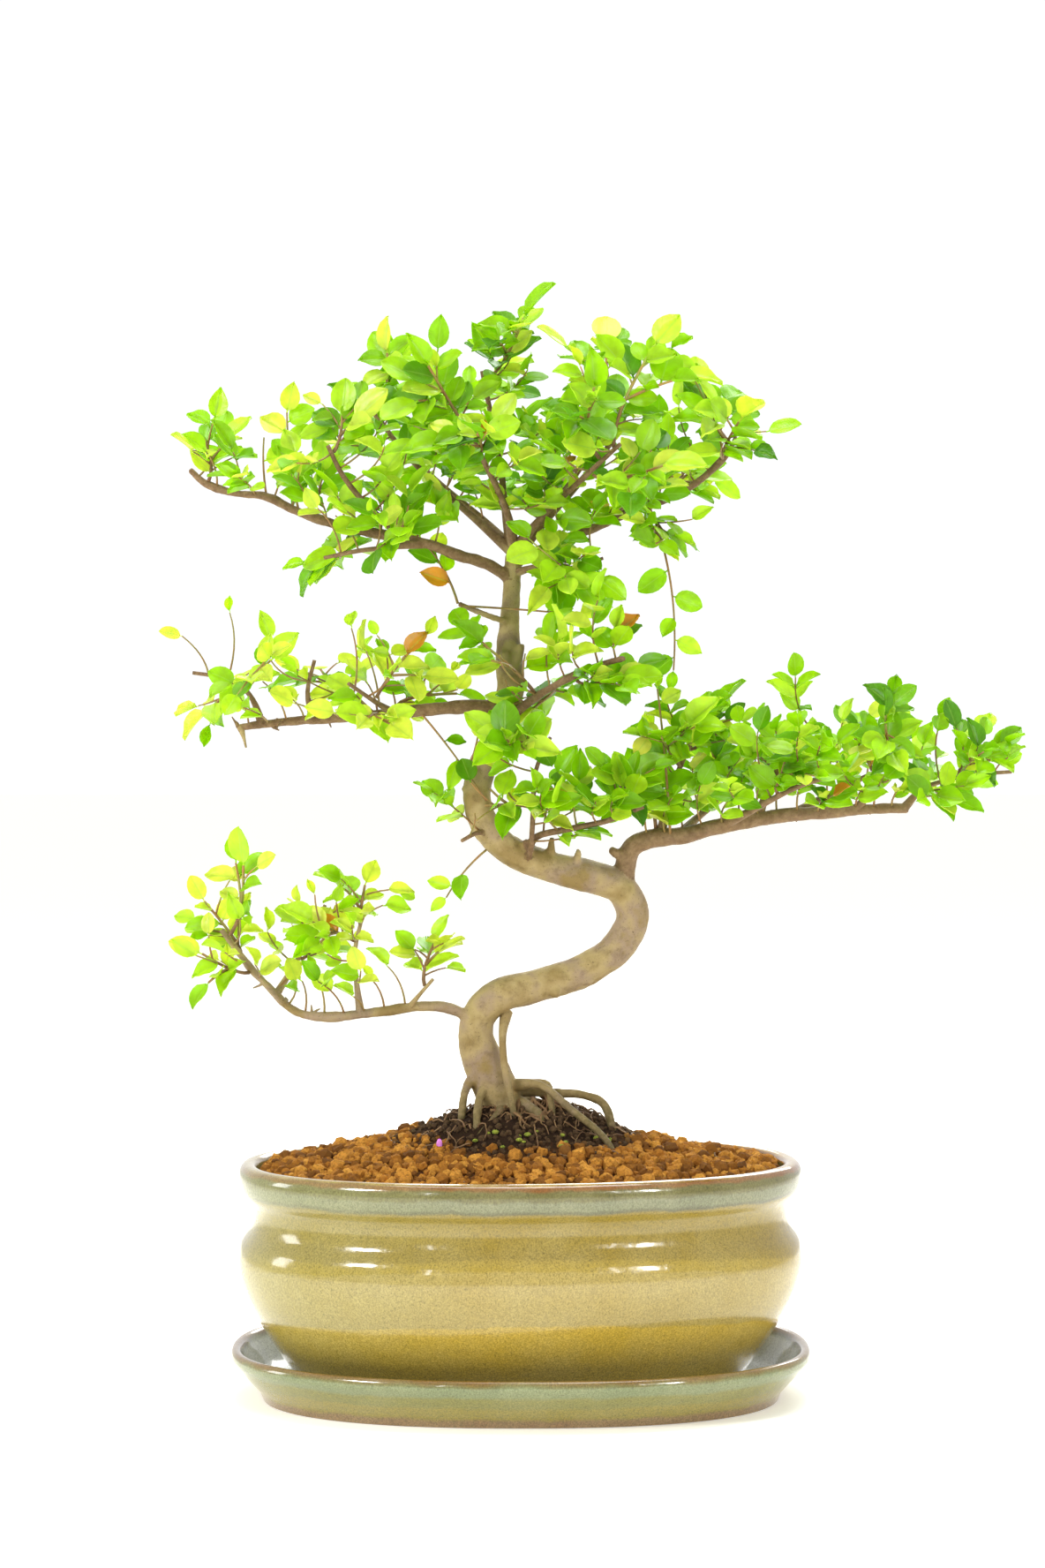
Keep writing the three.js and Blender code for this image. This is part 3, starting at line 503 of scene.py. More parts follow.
@dataclass(frozen=True)
class BandedGlaze:
    """Glossy glazes in bands, grainy with fine dark specks and crackle; some of the pot's bands are painted
    reflection and painted shade rather than poured glaze.

    The bands are height in millimetres and colour, from the lowest up.
    """

    name: str
    bands: tuple[Stop, ...]
    top: float
    drop: float
    half_length: float
    edge_blur: float = 0.5
    inside: Colour = (0.42, 0.46, 0.4)
    inside_top: float = 0
    speck: Colour = (0.055, 0.075, 0.022)
    pale: Colour = (0.62, 0.58, 0.32)
    crackle_top: float = 14
    sag_ends: Pair = (66, 84)
    green: Colour = (0.25, 0.27, 0.09)
    green_share: float = 0

    def material(self) -> Material:
        """Makes the glaze.

        Returns:
            The material.
        """
        skin = Pattern(self.name)
        along, _, height = skin.axes()
        share = skin.sums("DIVIDE", along, self.half_length * MM)
        low, high = self.sag_ends
        sag = skin.times(share, share, self.drop * MM, skin.span(height, low * MM, high * MM, 1, 0))
        wander = skin.span(skin.noise(16, 3), 0.3, 0.7, -0.7 * MM, 0.7 * MM)
        level = skin.span(skin.plus(height, sag, wander), 0, self.top * MM)
        stops = []
        for (low, colour), (high, _) in zip(self.bands, (*self.bands[1:], (self.top, self.pale))):
            stops.append(((low + self.edge_blur) / self.top, colour))
            stops.append(((high - self.edge_blur) / self.top, colour))
        # The band colours; on the pot some of them are painted reflections and painted shade.
        colour = skin.ramp(level, *stops)
        if self.inside_top:
            _, _, up = skin.axes(skin.node("ShaderNodeNewGeometry").outputs["Normal"])
            low = skin.span(height, self.inside_top * MM, (self.inside_top + 1.5) * MM, 1, 0)
            colour = skin.mix(skin.times(skin.span(up, 0.1, 0.3), low), colour, self.inside)
        colour = skin.mix(skin.span(share, -0.9, -0.1, self.green_share, 0), colour, self.green)
        cloud = skin.span(skin.noise(24, 4, 0.6), 0.35, 0.7, 0, 0.26)
        colour = skin.mix(cloud, colour, skin.mix(0.5, colour, self.pale))
        grain = skin.span(skin.noise(0.65, 2), 0.36, 0.64, 0.8, 1.16)
        streak = skin.span(skin.noise(0.7, 4, 0.75, (1, 1, 0.5)), 0.5, 0.68, 0, 0.42)
        colour = skin.mix(streak, skin.vector("SCALE", colour, grain), self.speck, "MULTIPLY")
        dots = skin.span(skin.cells(0.9), 0.1, 0.26, 0.5, 0)
        shown = skin.span(skin.noise(3.5, 3), 0.42, 0.6)
        colour = skin.mix(skin.times(dots, shown), colour, self.speck)
        crack = skin.span(skin.cells(1.4, "DISTANCE_TO_EDGE"), 0.0, 0.08, 1, 0)
        low = skin.span(height, 0.5 * self.crackle_top * MM, self.crackle_top * MM, 0.42, 0.08)
        crack = skin.times(crack, low)
        colour = skin.mix(crack, colour, self.speck)
        skin.set(Base_Color=colour, Roughness=skin.span(skin.noise(6, 3), 0.3, 0.7, 0.09, 0.2))
        skin.set(Coat_Weight=0.5, Coat_Roughness=0.05, Specular_IOR_Level=0.5)
        skin.relief(skin.plus(skin.noise(9, 2), skin.times(crack, -0.25)), 0.5, 0.4)
        return skin.material


@dataclass(frozen=True)
class Bark:
    """Smooth living bark: tan on the trunk, brown on the boughs, olive on the roots, with a pruning scar.

    The mesh carries the girth of the limb that each point belongs to, and how much it is like the trunk.
    """

    name: str
    pale: Colour = (0.38, 0.285, 0.125)
    tan: Colour = (0.26, 0.18, 0.062)
    grey: Colour = (0.3, 0.215, 0.135)
    brown: Colour = (0.15, 0.082, 0.036)
    brown_light: Colour = (0.27, 0.17, 0.085)
    dark: Colour = (0.07, 0.04, 0.018)
    root: Colour = (0.115, 0.088, 0.028)
    root_top: float = 137
    root_foot: float = 116
    root_girths: Pair = (2.6, 4.6)
    scar: Triple = (-4, -6, 306)
    scar_shape: Triple = (1.25, 0.8, 0.85)
    scar_reach: float = 7
    scar_colour: Colour = (0.27, 0.235, 0.07)

    def material(self) -> Material:
        """Makes the bark.

        Returns:
            The material.
        """
        skin = Pattern(self.name)
        _, _, height = skin.axes()
        patches = skin.noise(17, 4, 0.5)
        trunk = skin.ramp(patches, (0.36, self.tan), (0.48, self.pale), (0.6, self.grey), (0.68, self.tan))
        ridged = skin.noise(2.4, 6, 0.7)
        bough = skin.ramp(ridged, (0.35, self.brown), (0.66, self.brown_light))
        colour = skin.mix(skin.mark("trunk_like"), bough, trunk)
        mottle = skin.span(skin.noise(4.5, 6, 0.7), 0.5, 0.68, 0, 0.35)
        colour = skin.mix(mottle, colour, self.tan, "MULTIPLY")
        pores = skin.span(skin.noise(0.8, 3, 0.6), 0.6, 0.74, 0, 0.6)
        colour = skin.mix(pores, colour, self.dark)
        girth = skin.mark("girth")
        low = skin.span(height, self.root_foot * MM, self.root_top * MM, 1, 0)
        slim = skin.span(girth, *self.root_girths, 1, 0.4)
        lower = skin.times(low, skin.span(ridged, 0.3, 0.6, 0.25, 0.95), slim)
        colour = skin.mix(lower, colour, self.root)
        ragged = skin.span(ridged, 0.3, 0.7, -0.8 * MM, 0.8 * MM)
        away = skin.plus(skin.distance(self.scar, self.scar_shape), ragged)
        rim = skin.span(away, self.scar_reach * MM, (self.scar_reach + 2.4) * MM, 0.5, 0)
        inner = skin.span(away, (self.scar_reach - 2) * MM, (self.scar_reach - 0.5) * MM, 0.6, 0)
        colour = skin.mix(inner, skin.mix(rim, colour, self.dark), self.scar_colour)
        skin.set(Base_Color=colour, Roughness=0.66, Specular_IOR_Level=0.3)
        rough = skin.times(ridged, skin.span(girth, 2, 6, 1, 0.35))
        skin.relief(skin.plus(rough, skin.times(pores, -0.3)), 0.9, 0.6)
        return skin.material


@dataclass(frozen=True)
class TwigBark:
    """Brown twigs that turn orange-brown and green towards the young tips."""

    name: str
    brown: Colour = (0.13, 0.065, 0.025)
    ash: Colour = (0.26, 0.15, 0.065)
    young: Colour = (0.47, 0.23, 0.06)
    green: Colour = (0.36, 0.42, 0.06)

    def material(self) -> Material:
        """Makes the twig bark.

        Returns:
            The material.
        """
        skin = Pattern(self.name)
        old = skin.ramp(skin.noise(5, 5, 0.6), (0.35, self.brown), (0.65, self.ash))
        fresh = skin.ramp(skin.noise(9, 3), (0.42, self.young), (0.62, self.green))
        colour = skin.mix(skin.span(skin.mark("tint"), 0.1, 0.9), old, fresh)
        skin.set(Base_Color=colour, Roughness=0.55, Specular_IOR_Level=0.35)
        skin.relief(skin.noise(0.9, 4), 0.2, 0.6)
        return skin.material


@dataclass(frozen=True)
class LeafGreen:
    """Glossy leaves, paler along the veins, whose green follows the tint of each leaf."""

    name: str
    tints: tuple[Stop, ...] = (
        (0.0, (0.06, 0.22, 0.02)),
        (0.2, (0.14, 0.37, 0.012)),
        (0.4, (0.3, 0.58, 0.002)),
        (0.6, (0.5, 0.76, 0.006)),
        (0.75, (0.7, 0.87, 0.06)),
        (0.86, (0.86, 0.85, 0.12)),
        (0.93, (0.85, 0.7, 0.14)),
        (0.98, (0.78, 0.26, 0.03)),
    )
    vein: Colour = (0.5, 0.7, 0.12)
    glow: Colour = (0.6, 0.92, 0.0)
    through: float = 0.56
    vein_count: float = 7

    def material(self) -> Material:
        """Makes the leaf.

        Returns:
            The material.
        """
        skin = Pattern(self.name)
        uv = skin.node("ShaderNodeUVMap", uv_map="UVMap").outputs["UV"]
        along, aside, _ = skin.axes(uv)
        aside = skin.sums("ABSOLUTE", skin.sums("SUBTRACT", aside, 0.5))
        cloud = skin.span(skin.noise(6, 4), 0.35, 0.7, 0.82, 1.16)
        colour = skin.vector("SCALE", skin.ramp(skin.mark("tint"), *self.tints), cloud)
        midrib = skin.span(aside, 0.012, 0.04, 0.5, 0)
        slant = skin.sums("SUBTRACT", along, skin.times(aside, 0.55))
        wave = skin.sums("FRACT", skin.times(slant, self.vein_count))
        side = skin.span(skin.sums("ABSOLUTE", skin.sums("SUBTRACT", wave, 0.5)), 0.0, 0.1, 0.16, 0)
        veins = skin.sums("MAXIMUM", midrib, side)
        colour = skin.mix(veins, colour, self.vein)
        skin.set(Base_Color=colour, Roughness=0.3, Specular_IOR_Level=0.5)
        skin.relief(skin.plus(veins, skin.noise(1.6, 3)), 0.22, 0.5)
        light = skin.node("ShaderNodeBsdfTranslucent")
        skin.fill(light, Color=skin.mix(0.45, colour, self.glow))
        blend = skin.node("ShaderNodeMixShader")
        blend.inputs[0].default_value = self.through
        skin.feed(blend.inputs[1], skin.shader.outputs[0])
        skin.feed(blend.inputs[2], light.outputs[0])
        skin.feed(skin.output.inputs["Surface"], blend.outputs[0])
        return skin.material


@dataclass(frozen=True)
class Clay:
    """Crumbly baked clay, dark where the mark says that it is humus."""

    name: str
    light: Colour = (0.74, 0.35, 0.056)
    middle: Colour = (0.45, 0.18, 0.024)
    deep: Colour = (0.15, 0.06, 0.013)
    humus: Colour = (0.034, 0.02, 0.011)
    humus_light: Colour = (0.15, 0.088, 0.042)

    def material(self) -> Material:
        """Makes the clay.

        Returns:
            The material.
        """
        skin = Pattern(self.name)
        colour = skin.ramp(skin.mark("tint"), (0, self.deep), (0.5, self.middle), (1, self.light))
        grain = skin.noise(1.2, 8, 0.75)
        colour = skin.mix(skin.span(grain, 0.45, 0.66, 0, 0.8), colour, self.deep)
        dark = skin.ramp(grain, (0.3, self.humus), (0.75, self.humus_light))
        colour = skin.mix(skin.mark("humus"), colour, dark)
        skin.set(Base_Color=colour, Roughness=0.93, Specular_IOR_Level=0.15)
        skin.relief(grain, 1.1, 0.9)
        return skin.material


@dataclass(frozen=True)
class SoilBed:
    """The soil between the granules, humus near the trunk."""

    name: str
    clay: Colour = (0.15, 0.06, 0.018)
    humus: Colour = (0.03, 0.016, 0.009)
    humus_reach: float = 50

    def material(self) -> Material:
        """Makes the soil.

        Returns:
            The material.
        """
        skin = Pattern(self.name)
        grain = skin.noise(2.4, 8, 0.7)
        reach = skin.distance((0, 0, 0), (1, 1.2, 0))
        ragged = skin.plus(reach, skin.span(grain, 0.2, 0.8, -8 * MM, 8 * MM))
        away = skin.span(ragged, 0.8 * self.humus_reach * MM, self.humus_reach * MM)
        colour = skin.mix(away, self.humus, skin.mix(grain, self.humus, self.clay))
        skin.set(Base_Color=colour, Roughness=0.95, Specular_IOR_Level=0.1)
        skin.relief(grain, 1.5, 1)
        return skin.material


@dataclass(frozen=True)
class Mottled:
    """A finish mottled in two tones, whose blotches and grain are noises of a size, detail and roughness."""

    name: str
    tones: tuple[Stop, Stop]
    blotches: tuple[float, ...]
    grain: tuple[float, ...]
    relief: Pair
    roughness: float = 0.5

    def material(self) -> Material:
        """Makes the finish.

        Returns:
            The material.
        """
        skin = Pattern(self.name)
        skin.set(Base_Color=skin.ramp(skin.noise(*self.blotches), *self.tones), Roughness=self.roughness)
        skin.relief(skin.noise(*self.grain), *self.relief)
        return skin.material


MOSS_GREEN = Mottled(
    "moss", ((0.35, (0.1, 0.16, 0.015)), (0.62, (0.44, 0.48, 0.05))), (0.7, 6, 0.7), (0.7, 6, 0.7),
    (0.8, 1), 0.9)
PETAL_PINK = Mottled(
    "petal", ((0.4, (0.52, 0.05, 0.55)), (0.6, (0.8, 0.28, 0.8))), (2, 3), (0.8, 2), (0.15, 0.5))
DARK_PLASTIC = Mottled(
    "drainage_net", ((0.4, (0.02, 0.022, 0.02)), (0.65, (0.05, 0.055, 0.05))), (3, 4), (0.6, 3), (0.1, 0.5))


# Pot and tray


@dataclass(frozen=True)
class Oval:
    """The outline of the pot or the tray. Its fullness is the exponent: 2 is an ellipse, more is squarer."""

    half_length: float
    half_width: float
    fullness: float
    turn: float

    def points(self, angles: Array, insets: Array) -> Array:
        """Places inside the outline, each set in along the outline's normal.

        Args:
            angles: The angle of each place before the outline is turned.
            insets: How far each is set in, in millimetres.

        Returns:
            Rows of x and y in millimetres.
        """
        def bent(values: Array, power: float) -> Array:
            """The values to a power, with their signs kept."""
            return np.sign(values) * np.abs(values) ** power

        x = self.half_length * bent(np.cos(angles), 2 / self.fullness)
        y = self.half_width * bent(np.sin(angles), 2 / self.fullness)
        out_x = bent(x / self.half_length, self.fullness - 1) / self.half_length
        out_y = bent(y / self.half_width, self.fullness - 1) / self.half_width
        size = np.hypot(out_x, out_y)
        x = x - insets * out_x / size
        y = y - insets * out_y / size
        cos, sin = math.cos(self.turn), math.sin(self.turn)
        return np.column_stack((x * cos - y * sin, x * sin + y * cos))


POT_OVAL = Oval(117.5, 80.5, 2.25, 0.1)
TRAY_OVAL = Oval(120.3, 85, 2.35, 0)


def smooth_route(points: Array, steps: int) -> Array:
    """A smooth line through points, Catmull-Rom with centripetal knots.

    Args:
        points: The points, one a row.
        steps: How many steps lie between two points.

    Returns:
        The finer points.
    """
    ghost_start = 2 * points[0] - points[1]
    ghost_end = 2 * points[-1] - points[-2]
    padded = np.vstack((ghost_start, points, ghost_end))
    made = []
    for a, b, c, d in zip(padded, padded[1:], padded[2:], padded[3:]):
        reaches = [float(np.linalg.norm(after[:3] - here[:3])) for here, after in ((a, b), (b, c), (c, d))]
        t1, t2, t3 = np.cumsum([max(1e-6, reach ** 0.5) for reach in reaches])
        for t in np.linspace(t1, t2, steps, endpoint=False):
            first = (a * (t1 - t) + b * t) / t1
            middle = (b * (t2 - t) + c * (t - t1)) / (t2 - t1)
            last = (c * (t3 - t) + d * (t - t2)) / (t3 - t2)
            left = (first * (t2 - t) + middle * t) / t2
            right = (middle * (t3 - t) + last * (t - t1)) / (t3 - t1)
            made.append((left * (t2 - t) + right * (t - t1)) / (t2 - t1))
    made.append(points[-1])
    return np.array(made)


@dataclass
class TurnedPiece:
    """A piece whose profile is turned about the upright axis and drawn out into an oval."""

    name: str
    oval: Oval
    profile: tuple[Pair, ...]
    curved: tuple[int, int]
    steps: int = 144
    profile_steps: int = 5
    edge_angle: float = 35

    def fine_profile(self) -> Array:
        """The profile with its curved stretch made smooth.

        Returns:
            Rows of half-length and height.
        """
        rough = np.array(self.profile, dtype=float)
        first, end = self.curved
        return np.vstack((rough[:first], smooth_route(rough[first:end], self.profile_steps), rough[end:]))

    def turn(self) -> Object:
        """Draws the profile, spins it and draws it out into the oval.

        Returns:
            The piece.
        """
        fine = self.fine_profile() * MM
        piece = add(self.name, bpy.ops.mesh.primitive_plane_add, size=MM)
        with editing(piece):
            bpy.ops.mesh.merge(type="CENTER")
            bpy.ops.transform.translate(value=(fine[0][0], 0, fine[0][1]))
            for here, there in zip(fine, fine[1:]):
                step = there - here
                bpy.ops.mesh.extrude_region_move(TRANSFORM_OT_translate={"value": (step[0], 0, step[1])})
            bpy.ops.mesh.select_all(action="SELECT")
            bpy.ops.mesh.spin(steps=self.steps, angle=2 * math.pi, center=(0, 0, 0), axis=(0, 0, 1))
            bpy.ops.mesh.select_all(action="SELECT")
            bpy.ops.mesh.remove_doubles(threshold=MM / 100)
            bpy.ops.mesh.normals_make_consistent(inside=False)
        places = places_of(piece)
        radius = np.hypot(places[:, 0], places[:, 1])
        angles = np.arctan2(places[:, 1], places[:, 0])
        flat = self.oval.points(angles, self.oval.half_length - radius)
        places[:, :2] = np.where(radius[:, None] > 0.01, flat, 0)
        piece.data.vertices.foreach_set("co", (places * MM).ravel())
        piece.data.update()
        return piece


@dataclass
class Tray(TurnedPiece):
    """The drip tray: a flat floor, a flared wall and a rolled rim over a bare clay foot."""

    name: str = "drip_tray"
    oval: Oval = TRAY_OVAL
    profile: tuple[Pair, ...] = (
        (0, 0), (107, 0), (108.2, 3.2), (116.6, 12.5), (120.3, 17.4), (119.2, 20.3),
        (116.6, 20.3), (114.4, 16.6), (108.6, 7.4), (104.5, 5), (0, 5),
    )
    curved: tuple[int, int] = (2, 10)
    bands: tuple[Stop, ...] = (
        (0, (0.26, 0.15, 0.06)), (3.2, (0.29, 0.23, 0.02)), (8.5, (0.22, 0.205, 0.038)),
        (13.5, (0.2, 0.235, 0.105)), (18.4, (0.18, 0.14, 0.035)), (19.7, (0.2, 0.105, 0.02)),
    )
    glaze_top: float = 20.8

    def glaze(self) -> Material:
        """The tray's glaze."""
        length = self.oval.half_length
        glaze = BandedGlaze("tray_glaze", self.bands, self.glaze_top, 0, length, 0.8, inside_top=16.5)
        return glaze.material()

    def build(self) -> None:
        """Builds and dresses the tray."""
        tray = self.turn()
        smooth(tray, self.edge_angle)
        dress(tray, self.glaze(), Slot.TRAY, "tray")


@dataclass
class Pot(TurnedPiece):
    """The oval pot: low feet, a round belly, a hollow neck and a thick lip, whose pale top is partly a
    painted reflection.
    """

    name: str = "glazed_pot"
    oval: Oval = POT_OVAL
    profile: tuple[Pair, ...] = (
        (0, 9), (78, 9), (80, 5), (88, 5), (94.5, 11.5), (104, 25), (113.5, 41), (117.5, 54),
        (116.4, 63.5), (112, 71), (111.4, 79), (116.2, 86), (116.8, 93.4), (114.6, 96.4),
        (110.6, 96.4), (108.8, 93), (106, 76), (109.6, 58), (103, 36), (90, 17.5), (82, 15), (0, 15),
    )
    curved: tuple[int, int] = (3, 21)
    bands: tuple[Stop, ...] = (
        # From 12 mm the yellow band and from 40.6 mm the pale band are partly painted reflections of the
        # tray's inside and of the white floor.
        (0, (0.22, 0.15, 0.02)), (12, (0.5, 0.34, 0.045)), (40.6, (0.38, 0.28, 0.07)),
        # From 67 mm a darker band is painted shade that offsets the backdrop's reflection on the
        # upward-facing shoulder.
        (62.9, (0.35, 0.245, 0.026)), (67, (0.28, 0.195, 0.02)), (84.8, (0.13, 0.125, 0.065)),
        # From 86.2 mm the blue-grey band is a painted reflection of the floor in the groove under the lip.
        (86.2, (0.2, 0.205, 0.11)), (90.2, (0.14, 0.125, 0.036)), (94.4, (0.22, 0.085, 0.016)),
        # From 96.35 mm the pale top of the lip is partly a painted reflection of the bright light.
        (96.35, (0.44, 0.29, 0.1)),
    )
    glaze_top: float = 97.4
    glaze_sag: float = 7
    drain_radius: float = 7
    drain_offset: float = 48
    slot_length: float = 84
    slot_width: float = 56
    slot_height: float = 6
    underside: float = 9
    floor: float = 15

    def glaze(self) -> Material:
        """The pot's glaze."""
        sizes = (self.glaze_top, self.glaze_sag, self.oval.half_length)
        return BandedGlaze("pot_glaze", self.bands, *sizes, crackle_top=44, green_share=0.35).material()

    def drill(self, pot: Object) -> None:
        """Cuts the two drainage holes and the slots that leave four feet.

        Args:
            pot: The pot.
        """
        turn = self.oval.turn
        for side in (-1, 1):
            reach = side * self.drain_offset * MM
            place = (reach * math.cos(turn), reach * math.sin(turn), self.floor * MM)
            cut_away(pot, add(
                "drain", bpy.ops.mesh.primitive_cylinder_add, vertices=32, radius=self.drain_radius * MM,
                depth=2 * self.floor * MM, location=place))
        middle = (0, 0, (self.underside - self.slot_height / 2) * MM)
        length = 2 * self.oval.half_length
        for size in ((length, self.slot_width), (self.slot_length, length)):
            cube = bpy.ops.mesh.primitive_cube_add
            cutter = add("slot", cube, size=MM, location=middle, rotation=(0, 0, turn))
            bpy.ops.transform.resize(value=(*size, self.slot_height), orient_type="LOCAL")
            cut_away(pot, cutter)

    def build(self) -> None:
        """Builds and dresses the pot, and paints the nets over its drainage holes."""
        pot = self.turn()
        self.drill(pot)
        smooth(pot, self.edge_angle)
        dress(pot, self.glaze(), Slot.POT, "pot")
        net = DARK_PLASTIC.material()
        for node in ("drainage_mesh_left", "drainage_mesh_right"):
            paint(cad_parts[node], net)


# Wood


@dataclass(frozen=True)
class Limb:
    """A limb's route with the radius at each point, in millimetres, and the pad whose leaves it carries."""

    points: Array
    radii: Array
    pad: str = ""

    @classmethod
    def tapered(cls, route: Sequence[Sequence[float]], girth: Pair, pad: str = "") -> "Limb":
        """A limb whose radius changes evenly from its first girth to its last."""
        steps = np.arange(len(route)) / (len(route) - 1)
        return cls(np.array(route, dtype=float), girth[0] + (girth[1] - girth[0]) * steps, pad)


TRUNK_ROUTE = (
    (1, 0, 92, 4), (-3.5, -1, 112, 5.4), (-6.5, -1.5, 118.5, 7.8), (-9.5, -2, 125, 9), (-14.5, -2, 136, 8.9),
    (-18.5, -3, 148, 7.4),
    (-17.5, -3, 157, 7), (-9, -2, 165, 7), (5, 1, 168.5, 7), (27, 6, 175.5, 6.9), (40, 9, 184, 6.8),
    (47, 10, 196.5, 6.9), (42.5, 8, 208.5, 6.8), (28, 4, 214.5, 6.9), (13, 0, 218.5, 6.5),
    (-2, -4, 224, 6.3), (-12.5, -8, 232.5, 6.1), (-18, -10, 246, 5.8), (-17, -9, 256, 6), (-10, -6, 273, 5.7),
    (-4.5, -3, 290, 5.8), (-4.5, -1, 303, 6), (-5, 0, 314, 4.7), (-4, 1, 331, 3.8), (-3, 2, 348, 3.4),
)
BOUGHS = (
    ("low_left", (2.5, 1.5), (
        (-17, -3, 152), (-27, -7, 159.5), (-39, -10, 161.5), (-56, -12, 159.5), (-81, -11, 157),
        (-93, -9, 159), (-102, -8, 167), (-111, -7, 176), (-124, -6, 193))),
    ("low_left", (1.4, 0.9), ((-66, -12, 158.5), (-67.5, -15, 172), (-68, -16, 185), (-65, -15, 199))),
    ("low_left", (1.3, 0.9), ((-101, -8, 166), (-94, 2, 178), (-88, 9, 190), (-82, 12, 202))),
    ("low_tip", (1.2, 0.8), ((-46, -11, 160.6), (-42, -15, 166), (-36, -18, 173))),
    ("left", (3, 1.5), (
        (-10, -6, 285), (-29, -8, 284.5), (-55, -9, 282), (-71, -8, 280.5), (-93, -6, 279),
        (-108, -5, 277.5), (-117, -5, 276.5))),
    ("left", (1.5, 0.9), (
        (-107, -5, 277.5), (-111, -5, 288), (-117, -4, 294.5), (-126, -3, 297.5), (-136, -2, 299))),
    ("left", (1.4, 0.9), ((-52, -9, 282), (-60, -20, 287), (-70, -29, 294))),
    ("left", (1.4, 0.9), ((-62, -9, 281), (-68, 5, 288), (-76, 18, 296))),
    ("left", (1.3, 0.9), ((-86, -7, 279.5), (-88, -8, 291), (-85, -10, 304))),
    ("", (1.3, 0.5), ((-116, -5, 276.7), (-114.5, -6, 272), (-113.5, -7, 268))),
    ("right", (4.8, 2.2), (
        (43, 8, 208), (43.5, 8, 217), (46, 6, 226), (53, 3, 230), (68, 0, 231.5), (80, -3, 235),
        (106, -6, 239.5), (127, -8, 241.5), (142, -9, 242.5), (160, -10, 243))),
    ("right", (1.5, 0.9), ((158, -10, 243), (166, -9, 251), (185, -7, 256.5), (203, -6, 258))),
    ("right", (2, 1), ((66, 0, 231.5), (76, 16, 240), (92, 28, 250), (112, 34, 258))),
    ("right", (1.9, 1), ((84, -3, 236), (96, -20, 243), (112, -32, 252), (130, -38, 258))),
    ("right", (1.8, 1), ((112, -6, 240), (128, 8, 248), (146, 20, 256), (162, 26, 262))),
    ("right", (1.7, 1), ((58, 2, 231), (62, 3, 248), (70, 4, 268), (80, 4, 284))),
    ("right", (1.7, 1), ((98, -5, 238.5), (103, -4, 252), (112, -2, 268), (122, 0, 280))),
    ("right", (1.5, 0.9), ((138, -9, 242), (146, -14, 252), (158, -18, 262))),
    ("front", (2.4, 1.2), ((-9, -6, 276), (0, -18, 284), (12, -30, 292), (28, -38, 300), (42, -40, 304))),
    ("front", (2, 1.1), ((2, -4, 223), (6, -12, 231), (19, -19, 234.5), (35, -23, 238), (50, -27, 244))),
    ("front", (1.6, 0.9), ((2, -3, 221), (4, -14, 226), (5, -20, 240), (6, -24, 258), (12, -30, 272))),
    ("front", (1.4, 0.9), ((-13, -8, 233), (-18, -18, 233), (-24, -25, 230))),
    ("crown", (2.7, 1.3), (
        (-4, 1, 338), (-14, -3, 344), (-26, -7, 347.5), (-39, -10, 352), (-73, -10, 359),
        (-91, -8, 365), (-106, -6, 372), (-117, -5, 373), (-130, -4, 377), (-137, -3, 383))),
    ("crown", (2.6, 1.2), (
        (-3, 2, 345), (12, 6, 351), (25, 8, 357.5), (41, 8, 364.5), (59, 6, 371), (73, 4, 378),
        (84, 3, 388), (90, 2, 397))),
    ("crown", (2.2, 1.1), ((-3, 2, 346), (-6, 2, 362), (-8, 1, 382), (-12, 0, 404), (-16, -2, 424))),
    ("crown", (2.1, 1.1), ((-1, 2, 349), (10, 5, 362), (24, 8, 378), (38, 10, 396), (46, 10, 412))),
    ("crown", (2, 1), ((-4, 2, 350), (-20, 4, 364), (-38, 6, 380), (-54, 8, 398), (-62, 8, 410))),
    ("crown", (2, 1), ((-3, 1, 352), (-6, -14, 366), (-14, -30, 382), (-22, -42, 398))),
    ("crown", (2, 1), ((-2, 1, 351), (10, -12, 364), (26, -28, 378), (40, -40, 390))),
    ("crown", (2, 1), ((-4, 3, 351), (-16, 16, 364), (-34, 32, 380), (-48, 42, 394))),
    ("crown", (2, 1), ((-2, 3, 350), (8, 16, 364), (22, 34, 382), (32, 48, 398))),
    ("crown", (1.8, 1), ((20, 7, 355), (38, 20, 366), (56, 32, 378), (68, 38, 388))),
    ("crown", (1.8, 1), ((-46, -10, 353), (-60, -22, 364), (-72, -30, 378), (-78, -34, 390))),
    ("low_crown", (1.6, 0.9), ((-40, -10, 352), (-52, -20, 350), (-66, -26, 348), (-80, -28, 345))),
    ("low_crown", (1.5, 0.8), ((-4, 1, 340), (8, -4, 343), (20, -8, 342), (34, -10, 346))),
    ("low_crown", (1.4, 0.8), ((46, 8, 366), (54, 0, 360), (60, -6, 350))),
)
